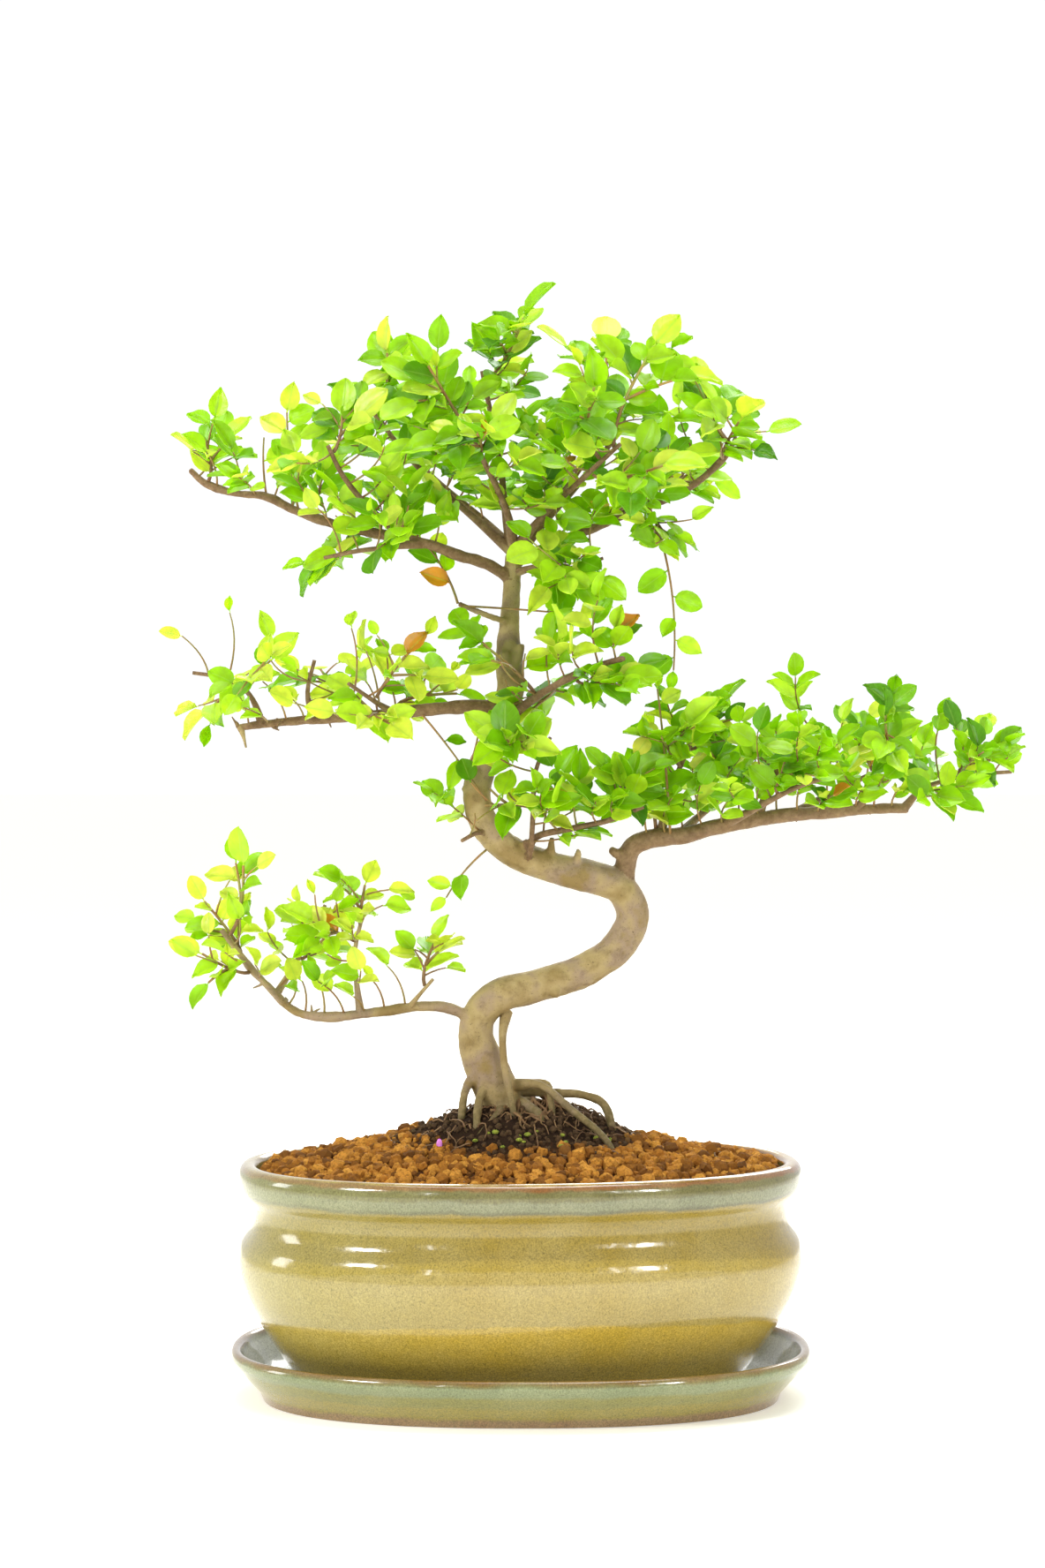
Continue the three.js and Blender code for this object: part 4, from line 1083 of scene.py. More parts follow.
ROOTS = (
    ((2, 1.5), ((-6, -2, 158), (-7.5, -10, 149), (-6.5, -13.5, 136), (-4, -15, 124), (-1, -16, 106))),
    ((2.2, 1.4), ((-2, -3, 128), (4, -8, 129.5), (11, -11, 129), (12.5, -13, 122), (14, -16, 106))),
    ((2.3, 1.5), (
        (-3, -2, 125), (13, -6, 125), (26, -8, 124.5), (34, -8, 121), (37, -9, 114), (39, -9, 100))),
    ((2.2, 1.4), ((-4, -5, 128), (8, -12, 129), (21, -20, 119.5), (34, -26, 109), (41, -29, 97))),
    ((2.8, 1.6), ((-4, -6, 123), (5, -13, 119), (10, -20, 113), (14, -24, 101))),
    ((2.3, 1.4), ((-16, -3, 136), (-22, -7, 128), (-24, -11, 120), (-25, -14, 104))),
    ((2.3, 1.4), ((-13, -5, 132), (-17, -12, 123), (-18, -19, 115), (-20, -24, 101))),
    ((2.6, 1.5), ((-6, -6, 120), (-10, -14, 116), (-17, -23, 109.5), (-24, -30, 98))),
    ((2.4, 1.5), ((-4, -6, 119), (0, -16, 114.5), (3, -26, 108), (5, -33, 97))),
    ((2.6, 1.5), ((-4, 3, 122), (14, 14, 116.5), (25, 22, 110), (33, 27, 98))),
    ((2.6, 1.5), ((-6, 4, 121), (-18, 12, 115.5), (-29, 18, 109), (-38, 22, 98))),
    ((2.4, 1.5), ((-5, 5, 121), (-4, 17, 115), (-6, 28, 107.5), (-7, 35, 97))),
)


def limb_tubes(name: str, limbs: Sequence[Limb], round_steps: int, steps: int) -> Object:
    """Round tubes along limbs, as one closed mesh for each limb.

    Args:
        name: The name of the piece.
        limbs: The limbs.
        round_steps: How finely the tubes are rounded.
        steps: How many steps lie between two points of a route, 1 to keep the route as it is.

    Returns:
        The tubes.
    """
    tubes = add(name, bpy.ops.curve.primitive_nurbs_path_add)
    curve = tubes.data
    curve.splines.clear()
    curve.bevel_depth = MM
    curve.bevel_resolution = round_steps
    curve.use_fill_caps = True
    for limb in limbs:
        rows = np.column_stack((limb.points, limb.radii))
        rows = smooth_route(rows, steps) if steps > 1 else rows
        spline = curve.splines.new("POLY")
        spline.points.add(len(rows) - 1)
        for point, (x, y, z, radius) in zip(spline.points, rows):
            point.co = (x * MM, y * MM, z * MM, 1)
            point.radius = radius
    pick(tubes)
    bpy.ops.object.convert(target="MESH")
    with editing(tubes):
        bpy.ops.mesh.remove_doubles(threshold=MM / 1000)
        bpy.ops.mesh.normals_make_consistent(inside=False)
    return tubes


@dataclass
class Wood:
    """The trunk with its roots and boughs, grown as one."""

    voxel: float = 0.7
    batch: int = 4000
    thick: float = 2.3
    collar: float = 1.35
    slim: float = 0.86
    girths: Pair = (3.2, 6)
    grown_bark: dict[str, float] = field(default_factory=lambda: {
        "root": 0.85, "low_left": 1.0, "low_tip": 0.9, "right": 0.15})
    stubs: tuple[tuple[Pair, tuple[Triple, ...]], ...] = (
        ((2.6, 1.7), ((14, 0, 169), (14.2, -3.5, 166.4), (14.4, -4.6, 165))),
        ((2.4, 1.6), ((28, 5, 174), (28, 1, 171.4), (28, -0.5, 170))),
        ((2.6, 1.3), ((12, 0, 219), (12.5, -4, 226), (13, -5, 231))),
        ((2.2, 1.2), ((22, 2, 216), (23.5, -3, 222.5), (24, -4, 226))),
        ((2.8, 1.4), ((4, -2, 222), (3, -8, 226), (2, -10, 230))),
        ((2.4, 1.5), ((44, 8, 222), (39, 4, 224.5), (37.5, 3, 226))),
        ((3.4, 2.2), ((-5, -1, 300), (-6, -5.5, 303), (-6.5, -6, 308))),
        ((3.0, 1.6), ((-4, -1, 300), (-1, -5.5, 305), (0.5, -6, 311))),
        ((2.0, 1.2), ((-17, -9, 250), (-22.5, -12, 251), (-24, -13, 251.5))),
        ((1.5, 1.4), ((-6, -4, 320), (-16, -6, 323.5), (-26, -5, 327.5))),
    )
    spurs: tuple[Triple, ...] = (
        (-117, -5, 276.5), (-104, -5, 278), (-98, -6, 279), (-80, -7, 280), (-66, -8, 281), (-48, -9, 282.5),
        (146, -9, 242.7), (134, -8, 242), (118, -7, 240.6), (96, -5, 238), (72, -1, 232.7),
        (-86, -10, 158), (-97, -9, 162.5), (-106, -8, 171),
    )
    seed: int = 19

    def limbs(self) -> list[Limb]:
        """The trunk, the boughs and the roots in the order that they grew.

        Returns:
            The limbs.
        """
        trunk = np.array(TRUNK_ROUTE, dtype=float)
        made = [Limb(trunk[:, :3], trunk[:, 3])]
        for pad, girth, route in (*BOUGHS, *(("root", *root) for root in ROOTS)):
            made.append(Limb.tapered(route, girth, pad))
        return made

    def small_spurs(self) -> list[Limb]:
        """Short thorny spurs that stand off the boughs.

        Returns:
            The spurs.
        """
        draw = np.random.default_rng(self.seed)
        made = []
        for place in self.spurs:
            for _ in range(2):
                way = draw.normal(size=3) * (1, 0.6, 1)
                way[2] = way[2] if abs(way[2]) > 0.5 else 0.9
                end = np.array(place) + way / np.linalg.norm(way) * draw.uniform(3, 5.5)
                bend = (np.array(place) + end) / 2 + draw.normal(size=3) * 0.5
                made.append(Limb.tapered((place, bend, end), (0.85, 0.25)))
        return made

    def mark_girth(self, wood: Object, limbs: Sequence[Limb]) -> None:
        """Gives each point of the wood the girth of the limb that it belongs to.

        Args:
            wood: The wood.
            limbs: The limbs.
        """
        finer = [self.finer(limb) for limb in limbs]
        balls = np.vstack([np.column_stack((limb.points, limb.radii)) for limb in finer])
        likeness = np.concatenate([self.likeness(limb) for limb in finer])
        places = places_of(wood)
        nearest = []
        for start in range(0, len(places), self.batch):
            part = places[start:start + self.batch, None, :]
            gaps = np.sqrt(((part - balls[None, :, :3]) ** 2).sum(axis=2)) - balls[None, :, 3]
            nearest.extend(gaps.argmin(axis=1))
        mark(wood, "girth", balls[nearest, 3])
        mark(wood, "trunk_like", likeness[nearest])

    def likeness(self, limb: Limb) -> Array:
        """How much the bark of a limb is like the trunk's: wholly on the trunk, less on slim boughs.

        Args:
            limb: The limb.

        Returns:
            The likeness at each of its points, from 0 to 1.
        """
        if not limb.pad:
            return np.ones(len(limb.points))
        if limb.pad in self.grown_bark:
            return np.full(len(limb.points), self.grown_bark[limb.pad])
        return np.clip((limb.radii - self.girths[0]) / (self.girths[1] - self.girths[0]), 0, 1)

    def finer(self, limb: Limb) -> Limb:
        """The limb with four steps between two points."""
        rows = smooth_route(np.column_stack((limb.points, limb.radii)), 4)
        return Limb(rows[:, :3], rows[:, 3], limb.pad)

    def build(self) -> None:
        """Builds and dresses the wood."""
        limbs = self.limbs()
        thick = [limb for limb in limbs if limb.radii[0] >= self.thick]
        thin = [limb for limb in limbs if limb.radii[0] < self.thick]
        stubs = [Limb.tapered(route, girth) for girth, route in self.stubs]
        wood = limb_tubes("grown_wood", [*thick, *stubs], 8, 5)
        apply_modifier(wood, "REMESH", mode="VOXEL", voxel_size=self.voxel * MM)
        apply_modifier(wood, "SMOOTH", factor=0.5, iterations=6)
        for size, strength in ((15, 1.3), (4.5, 0.55)):
            lumps = bpy.data.textures.new("bark_lumps", "CLOUDS")
            lumps.noise_scale = size * MM
            apply_modifier(wood, "DISPLACE", texture=lumps, strength=strength * MM, texture_coords="LOCAL")
        swollen = []
        for limb in thin:
            radii = limb.radii * self.slim
            radii[0] = limb.radii[0] * self.collar
            swollen.append(Limb(limb.points, radii, limb.pad))
        branches = limb_tubes("thin_boughs", swollen, 3, 4)
        spurs = limb_tubes("spurs", self.small_spurs(), 1, 1)
        for piece in (wood, branches, spurs):
            smooth(piece, 60)
        whole = join([wood, branches, spurs], "grown_wood")
        self.mark_girth(whole, limbs)
        dress(whole, Bark("bark").material(), Slot.BARK, "trunk")


# Twigs and leaves: the same seeded rule as the CAD source, then finer growth between


class Draw:
    """Seeded draws from 0 to 1."""

    def __init__(self, seed: int) -> None:
        """Starts the draws."""
        self.state = seed & 0xFFFFFFFF

    def __call__(self) -> float:
        """The next draw.

        Returns:
            The draw.
        """
        mask = 0xFFFFFFFF
        self.state = (self.state + 0x6D2B79F5) & mask
        t = self.state
        t = ((t ^ (t >> 15)) * (t | 1)) & mask
        t ^= (t + (((t ^ (t >> 7)) * (t | 61)) & mask)) & mask
        return (t ^ (t >> 14)) / 4294967296

    def between(self, low: float, high: float) -> float:
        """A draw between two numbers."""
        return low + (high - low) * self()


def unit(vector: Array) -> Array:
    """A vector's direction, at length 1."""
    return vector / math.sqrt(float(vector @ vector))


def across(direction: Array, along: Array) -> Array:
    """The part of a direction that stands square on a twig, at length 1."""
    return unit(direction - along * float(direction @ along))


class Crowd:
    """The space that wood, twigs and leaves already fill, as balls that each belong to somebody."""

    ROOM = 60000

    def __init__(self) -> None:
        """Starts with nothing."""
        self.points = np.zeros((self.ROOM, 3))
        self.radii = np.zeros(self.ROOM)
        self.owners = np.zeros(self.ROOM, dtype=int)
        self.count = 0

    def add(self, points: Array, radii: Array | float, owner: int = -1) -> None:
        """Adds balls.

        Args:
            points: Their centres.
            radii: Their radii.
            owner: Whose they are.
        """
        stop = self.count + len(points)
        self.points[self.count:stop] = points
        self.radii[self.count:stop] = radii
        self.owners[self.count:stop] = owner
        self.count = stop

    def gaps(self, probes: Array, reach: float = 45) -> tuple[Array, Array, Array]:
        """The gap from a set of probes to each ball near them.

        Args:
            probes: The places probed.
            reach: How far balls may be from the first probe.

        Returns:
            The gaps, the owners and the centres of the balls.
        """
        points = self.points[:self.count]
        near = np.abs(points - probes[0]).max(axis=1) < reach
        centres = points[near]
        far = np.sqrt(((centres[None, :, :] - probes[:, None, :]) ** 2).sum(axis=2))
        least = far.min(axis=0) if len(centres) else np.zeros(0)
        return least - self.radii[:self.count][near], self.owners[:self.count][near], centres

    def least_gap(self, probes: Array, slack: float) -> float:
        """The least gap from a set of probes to any ball, less some slack."""
        gaps, _, _ = self.gaps(probes, 200)
        return float(gaps.min()) - slack if len(gaps) else math.inf


@dataclass(frozen=True)
class Pad:
    """A leafy pad. Its spray tips spread over an ellipsoid between two shares; leaf scales its leaves."""

    name: str
    wood: str
    seed: int
    sprays: int
    centre: Triple
    reach: Triple
    top: float
    bottom: float
    leaf: float


PADS = (
    Pad("crown_tip", "crown", 5, 1, (-132, -4, 384), (8, 8, 16), 0.9, 0.5, 0.85),
    Pad("crown", "crown", 11, 18, (1, 0, 384), (90, 66, 63), 1, -0.15, 0.95),
    Pad("low_crown", "low_crown", 23, 5, (-8, -18, 350), (78, 20, 20), 0.5, -0.9, 0.95),
    Pad("left", "left", 37, 6, (-78, -4, 290), (54, 32, 21), 0.9, -0.6, 0.8),
    Pad("front", "front", 41, 6, (12, -30, 272), (36, 20, 46), 0.95, -0.8, 0.95),
    Pad("right", "right", 53, 10, (122, -2, 256), (76, 42, 32), 0.95, -0.35, 0.88),
    Pad("low_left", "low_left", 67, 6, (-98, -6, 194), (40, 24, 30), 0.95, -0.5, 0.78),
    Pad("low_tip", "low_tip", 71, 1, (-32, -18, 182), (12, 8, 10), 0.8, 0.4, 0.8),
)


@dataclass(frozen=True)
class Spot:
    """A place on a twig."""

    point: Array
    along: Array
    radius: float


@dataclass(frozen=True)
class Twig:
    """A twig that bends from its start to its end."""

    start: Array
    control: Array
    end: Array
    radius: float
    taper: float = 0.35

    @property
    def length(self) -> float:
        """The straight length from start to end."""
        return math.dist(self.start, self.end)

    def point(self, share: float) -> Array:
        """The place at a share of the twig."""
        rest = 1 - share
        return rest * rest * self.start + 2 * rest * share * self.control + share * share * self.end

    def points(self, shares: Sequence[float]) -> Array:
        """The places at some shares of the twig, one a row."""
        return np.array([self.point(share) for share in shares])

    def spot(self, share: float) -> Spot:
        """The place, direction and radius at a share of the twig.

        Args:
            share: The share, from 0 to 1.

        Returns:
            The spot.
        """
        nudge = 0.0001
        along = self.point(min(1, share + nudge)) - self.point(max(0, share - nudge))
        return Spot(self.point(share), unit(along), self.radius * (1 - self.taper * share))

    def balls(self, step: float) -> tuple[Array, Array]:
        """The twig as a row of balls.

        Args:
            step: The most that lies between two.

        Returns:
            Their centres and radii.
        """
        cuts = max(2, math.ceil(self.length / step))
        spots = [self.spot(i / cuts) for i in range(cuts + 1)]
        return np.array([s.point for s in spots]), np.array([s.radius for s in spots])

    def limb(self) -> Limb:
        """The twig as a limb."""
        return Limb(*self.balls(4))


@dataclass(frozen=True)
class Leaf:
    """A leaf: where it grows, how it lies and how big it is."""

    base: Array
    way: Array
    face: Array
    length: float
    width: float
    tint: float = 0.5

    def matrix(self) -> Matrix:
        """What carries the leaf form to its place.

        Returns:
            The matrix.
        """
        aside = np.cross(self.face, self.way)
        columns = (self.way * self.length, aside * self.width, self.face * self.length, self.base)
        rows = np.column_stack(columns) * MM
        return Matrix([*rows.tolist(), [0, 0, 0, 1]])


@dataclass
class Spray:
    """A spray: its twigs, its leaves and how it faces."""

    name: str
    pad: Pad
    rank: int
    owner: int
    facing: Array
    twigs: list[Twig]
    leaves: list[Leaf] = field(default_factory=list)
    node: bool = True


# The stretches of the trunk that no leaf hides from the front, as spans of x and z
BARE_STRETCHES = (((-10, 2.5), (292.5, 320)), ((-23, -12), (234, 254)))


@dataclass
class Growth:
    """The rule that grows the sprays. Its numbers are those of the CAD source."""

    limbs: Sequence[Limb]
    fit_gap: float = 0.35
    twig_radius: float = 0.85
    side_radius: float = 0.7
    twig_least: float = 17
    twig_spacing: float = 7
    twig_tries: int = 8
    twig_clear: float = 1.2
    twig_bend: float = 0.3
    twig_lift: float = 0.08
    twig_sway: float = 0.07
    twig_probes: tuple[float, ...] = (0.25, 0.4, 0.55, 0.7, 0.85, 1)
    tip_reach: Pair = (0.88, 1.04)
    bud_step: float = 4
    bare_share: float = 0.3
    places_tried: int = 6
    spray_rise: float = 0.75
    spray_spread: float = 0.5
    spray_front: float = 0.48
    pad_power: float = 2.75
    side_start: float = 0.56
    side_length: Pair = (0.47, 0.63)
    side_forward: float = 0.6
    side_aside: float = 0.8
    side_stray: float = 0.3
    side_droop: float = 0.3
    side_probes: tuple[float, ...] = (0.3, 0.5, 0.75, 1)
    ball_step: float = 3
    pair_shares: tuple[float, ...] = (0.42, 0.74)
    side_pair_shares: tuple[float, ...] = (0.6,)
    leaf_forward: float = 0.62
    leaf_aside: float = 0.78
    leaf_stray: Triple = (0.45, 0.45, 0.6)
    face_stray: float = 0.7
    face_to_front: float = 0.35
    leaf_length: Pair = (15.5, 21.5)
    leaf_width: Pair = (0.54, 0.66)
    leaf_fold: float = 0.22
    leaf_arch: float = 0.16
    leaf_tries: int = 12
    least_turn: float = 0.6
    leaf_probes: tuple[Pair, ...] = (
        (0.2, 0.25), (0.2, -0.25), (0.3, 0), (0.3, 0.42), (0.3, -0.42), (0.46, 0), (0.46, 0.3), (0.46, -0.3),
        (0.56, 0.5), (0.56, -0.5), (0.64, 0.2), (0.64, -0.2), (0.74, 0.4), (0.74, -0.4), (0.82, 0),
        (0.86, 0.26), (0.86, -0.26), (1, 0),
    )
    clear_of_leaves: float = 3
    clear_of_own_leaves: float = 2.4
    clear_of_own_twigs: float = 1.4
    clear_of_wood: float = 2
    bare_back: float = 5
    leaf_foot: float = 4
    wood: Crowd = field(default_factory=Crowd)
    leaves: Crowd = field(default_factory=Crowd)
    sprays: list[Spray] = field(default_factory=list)

    def __post_init__(self) -> None:
        """Counts the limbs as filled space."""
        for limb in self.limbs:
            for i in range(len(limb.points) - 1):
                start, end = limb.points[i], limb.points[i + 1]
                cuts = max(1, math.ceil(math.dist(start, end) / self.ball_step))
                shares = np.arange(cuts) / cuts
                points = start + (end - start) * shares[:, None]
                self.wood.add(points, limb.radii[i] + (limb.radii[i + 1] - limb.radii[i]) * shares)
            self.wood.add(limb.points[-1:], limb.radii[-1:])

    def budding_places(self, pad: Pad) -> list[Spot]:
        """Places along the outer part of a pad's boughs where a spray may start.

        Args:
            pad: The pad.

        Returns:
            The places.
        """
        places = []
        for limb in self.limbs:
            if limb.pad != pad.wood:
                continue
            spans = len(limb.points) - 1
            for i in range(spans):
                along = limb.points[i + 1] - limb.points[i]
                size = math.sqrt(float(along @ along))
                cuts = max(1, math.floor(size / self.bud_step + 0.5))
                for k in range(cuts):
                    if (i + k / cuts) / spans < self.bare_share:
                        continue
                    radius = limb.radii[i] + (limb.radii[i + 1] - limb.radii[i]) * k / cuts
                    places.append(Spot(limb.points[i] + along * (k / cuts), along / size, radius))
        return places

    def spread_tip(self, pad: Pad, i: int, draw: Draw) -> Array:
        """Where the tip of a pad's spray goes.

        Args:
            pad: The pad.
            i: The spray's rank.
            draw: The draws.

        Returns:
            The tip.
        """
        height = pad.top + (pad.bottom - pad.top) * (i + 0.5) / pad.sprays
        around = i * GOLDEN_ANGLE + pad.seed
        flat = (1 - abs(height) ** self.pad_power) ** (1 / self.pad_power)
        reach = draw.between(*self.tip_reach)
        shares = np.array([flat * math.cos(around), flat * math.sin(around), height])
        return np.array(pad.centre) + np.array(pad.reach) * shares * reach

    def main_twig(self, place: Spot, tip: Array) -> tuple[Twig, float]:
        """A twig from a bough to a tip, swayed clear of what already grows there.

        Args:
            place: Where it starts.
            tip: Where it ends.

        Returns:
            The twig and its least gap.
        """
        reach = tip - place.point
        away = math.sqrt(float(reach @ reach))
        out = across(reach, place.along)
        start = place.point + out * (place.radius + self.fit_gap)
        best: tuple[Twig, float] | None = None
        for attempt in range(self.twig_tries):
            turn = attempt * GOLDEN_ANGLE
            sway = away * self.twig_sway * attempt
            shift = np.array([sway * math.cos(turn), sway * math.sin(turn), away * self.twig_lift])
            twig = Twig(start, start + out * (away * self.twig_bend) + shift, tip, self.twig_radius)
            gap = self.wood.least_gap(twig.points(self.twig_probes), self.twig_radius)
            if best is None or gap > best[1]:
                best = (twig, gap)
            if gap > self.twig_clear:
                break
        return best

    def side_twig(self, main: Twig, facing: Array, draw: Draw) -> Twig | None:
        """A twig that forks from a main twig.

        Args:
            main: The main twig.
            facing: The way that the spray faces.
            draw: The draws.

        Returns:
            The twig, or None where there is no room.
        """
        spot = main.spot(self.side_start)
        sideways = unit(np.cross(spot.along, facing))
        length = main.length * draw.between(*self.side_length)
        for attempt in range(self.twig_tries):
            sign = 1 if (math.floor(spot.point[0]) + attempt) % 2 == 0 else -1
            way = spot.along * self.side_forward + sideways * (sign * self.side_aside)
            way = unit(way + facing * (self.side_stray * (draw() - self.side_droop) * (1 + attempt)))
            control = spot.point + way * (length / 2) + spot.along * (length * self.twig_lift)
            twig = Twig(spot.point, control, spot.point + way * length, self.side_radius)
            if self.wood.least_gap(twig.points(self.side_probes), self.side_radius) > self.twig_clear:
                return twig
        return None

    def grow_twigs(self) -> None:
        """Grows the twigs of every pad."""
        taken: list[Array] = []
        for pad in PADS:
            draw = Draw(pad.seed)
            places = self.budding_places(pad)
            for i in range(pad.sprays):
                tip = self.spread_tip(pad, i, draw)
                free = [
                    place for place in places
                    if math.dist(place.point, tip) >= self.twig_least
                    and all(math.dist(other, place.point) >= self.twig_spacing for other in taken)
                ]
                free.sort(key=lambda place: math.dist(place.point, tip))
                outward = unit(tip - np.array(pad.centre))
                facing = unit(UP * self.spray_rise + outward * self.spray_spread + FRONT * self.spray_front)
                for place in free[:self.places_tried]:
                    twig, gap = self.main_twig(place, tip)
                    if gap <= self.twig_clear:
                        continue
                    taken.append(place.point)
                    side = self.side_twig(twig, facing, draw)
                    twigs = [twig] if side is None else [twig, side]
                    spray = Spray(f"{pad.name}_spray_{i + 1}", pad, i, len(self.sprays), facing, twigs)
                    for grown in twigs:
                        self.wood.add(*grown.balls(self.ball_step), spray.owner)
                    self.sprays.append(spray)
                    break

    def leaf_frame(self, spray: Spray, spot: Spot, sign: int, draw: Draw) -> Leaf:
        """A leaf at a place on a twig.

        Args:
            spray: The spray.
            spot: The place.
            sign: 0 at a twig's end, 1 on its right side and -1 on its left.
            draw: The draws.

        Returns:
            The leaf.
        """
        sideways = unit(np.cross(spot.along, spray.facing))
        forward = 1 if sign == 0 else self.leaf_forward
        way = spot.along * forward + sideways * (sign * self.leaf_aside)
        way = unit(way + np.array([stray * (draw() - 0.5) for stray in self.leaf_stray]))
        face = spray.facing.copy()
        face[0] += self.face_stray * (draw() - 0.5)
        face[1] += self.face_stray * (draw() - 0.5) - self.face_to_front
        face = across(face, way)
        length = spray.pad.leaf * draw.between(*self.leaf_length)
        return Leaf(spot.point, way, face, length, length * draw.between(*self.leaf_width))

    def probes(self, leaf: Leaf) -> Array:
        """Places on a leaf where it is probed.

        Args:
            leaf: The leaf.

        Returns:
            The places.
        """
        aside = np.cross(leaf.face, leaf.way)
        made = []
        for u, v in self.leaf_probes:
            height = self.leaf_fold * abs(v) * leaf.width - self.leaf_arch * u * u * leaf.length
            flat = leaf.base + leaf.way * (u * leaf.length) + aside * (v * leaf.width)
            made.append(flat + leaf.face * height)
        return np.array(made)

    def hides_trunk(self, probes: Array) -> bool:
        """Whether a leaf would hide one of the bare stretches of the trunk.

        Args:
            probes: Places on the leaf.

        Returns:
            Whether it would.
        """
        x, _, z = probes[probes[:, 1] < self.bare_back].T
        return any(
            ((x > left) & (x < right) & (z > low) & (z < high)).any()
            for (left, right), (low, high) in BARE_STRETCHES)

    def add_leaf(self, spray: Spray, spot: Spot, sign: int, draw: Draw, up: Array | None = None) -> None:
        """Adds a leaf that is clear of everything around it, where there is room.

        Args:
            spray: The spray.
            spot: Where it grows.
            sign: 0 at a twig's end, 1 on its right side and -1 on its left.
            draw: The draws.
            up: The upper side of the twig, where the leaf has to follow it.
        """
        for _ in range(self.leaf_tries):
            leaf = self.leaf_frame(spray, spot, sign, draw)
            probes = self.probes(leaf)
            if up is not None and float(leaf.face @ up) <= self.least_turn:
                continue
            if self.hides_trunk(probes):
                continue
            gaps, owners, centres = self.wood.gaps(probes)
            own = owners == spray.owner
            past_foot = np.sqrt(((centres - leaf.base) ** 2).sum(axis=1)) > self.leaf_foot
            least = np.where(own, self.clear_of_own_twigs, self.clear_of_wood)
            if ((gaps <= least) & (past_foot | ~own)).any():
                continue
            gaps, owners, _ = self.leaves.gaps(probes)
            least = np.where(owners == spray.owner, self.clear_of_own_leaves, self.clear_of_leaves)
            if (gaps <= least).any():
                continue
            self.leaves.add(probes, 0, spray.owner)
            spray.leaves.append(leaf)
            return

    def grow_leaves(self) -> None:
        """Grows the leaves of every spray."""
        for spray in self.sprays:
            draw = Draw(spray.pad.seed * 1000 + spray.rank)
            for twig, pairs in zip(spray.twigs, (self.pair_shares, self.side_pair_shares)):
                places = [(1, 0), *((share, sign) for share in pairs for sign in (1, -1))]
                first = across(spray.facing, twig.spot(0).along)
                for share, sign in places:
                    spot = twig.spot(share)
                    self.add_leaf(spray, spot, sign, draw, across(first, spot.along))


# The long single shoots: start, bend and end, the radius and where leaves grow
SHOOTS = (
    (((-91.5, -8, 365), (-96, -8, 386), (-96.4, -9, 406)), 0.6, (0.3, 0.42, 0.55, 0.66, 0.78, 0.9)),
    (((-105, -6, 371.5), (-107, -7, 384), (-106, -7, 396)), 0.5, (0.4, 0.6, 0.8)),
    (((-24, -6, 326.5), (0, -13, 325), (24, -16, 322.5)), 0.55, (0.72, 0.86)),
    (((-26, -5, 327.5), (-30, -6, 342), (-41, -7, 354)), 0.6, (0.3, 0.45, 0.6, 0.75, 0.88)),
    (((-42, -9, 283), (-30, -16, 270), (-14, -18, 246)), 0.5, (0.4, 0.6, 0.8)),
    (((-14, -8, 226), (-24, -13, 218), (-30.6, -14, 206.4)), 0.5, (0.55, 0.8)),
    (((-16, -6, 285), (-17, -14, 270), (-22, -18, 258)), 0.5, (0.5, 0.75)),
    (((52, 6, 372), (66, -6, 340), (63, -10, 300)), 0.55, (0.3, 0.45, 0.6, 0.72, 0.84, 0.93)),
    (((62, -2, 232), (60, -14, 262), (56, -18, 292)), 0.6, (0.3, 0.42, 0.55, 0.66, 0.78, 0.9)),
)


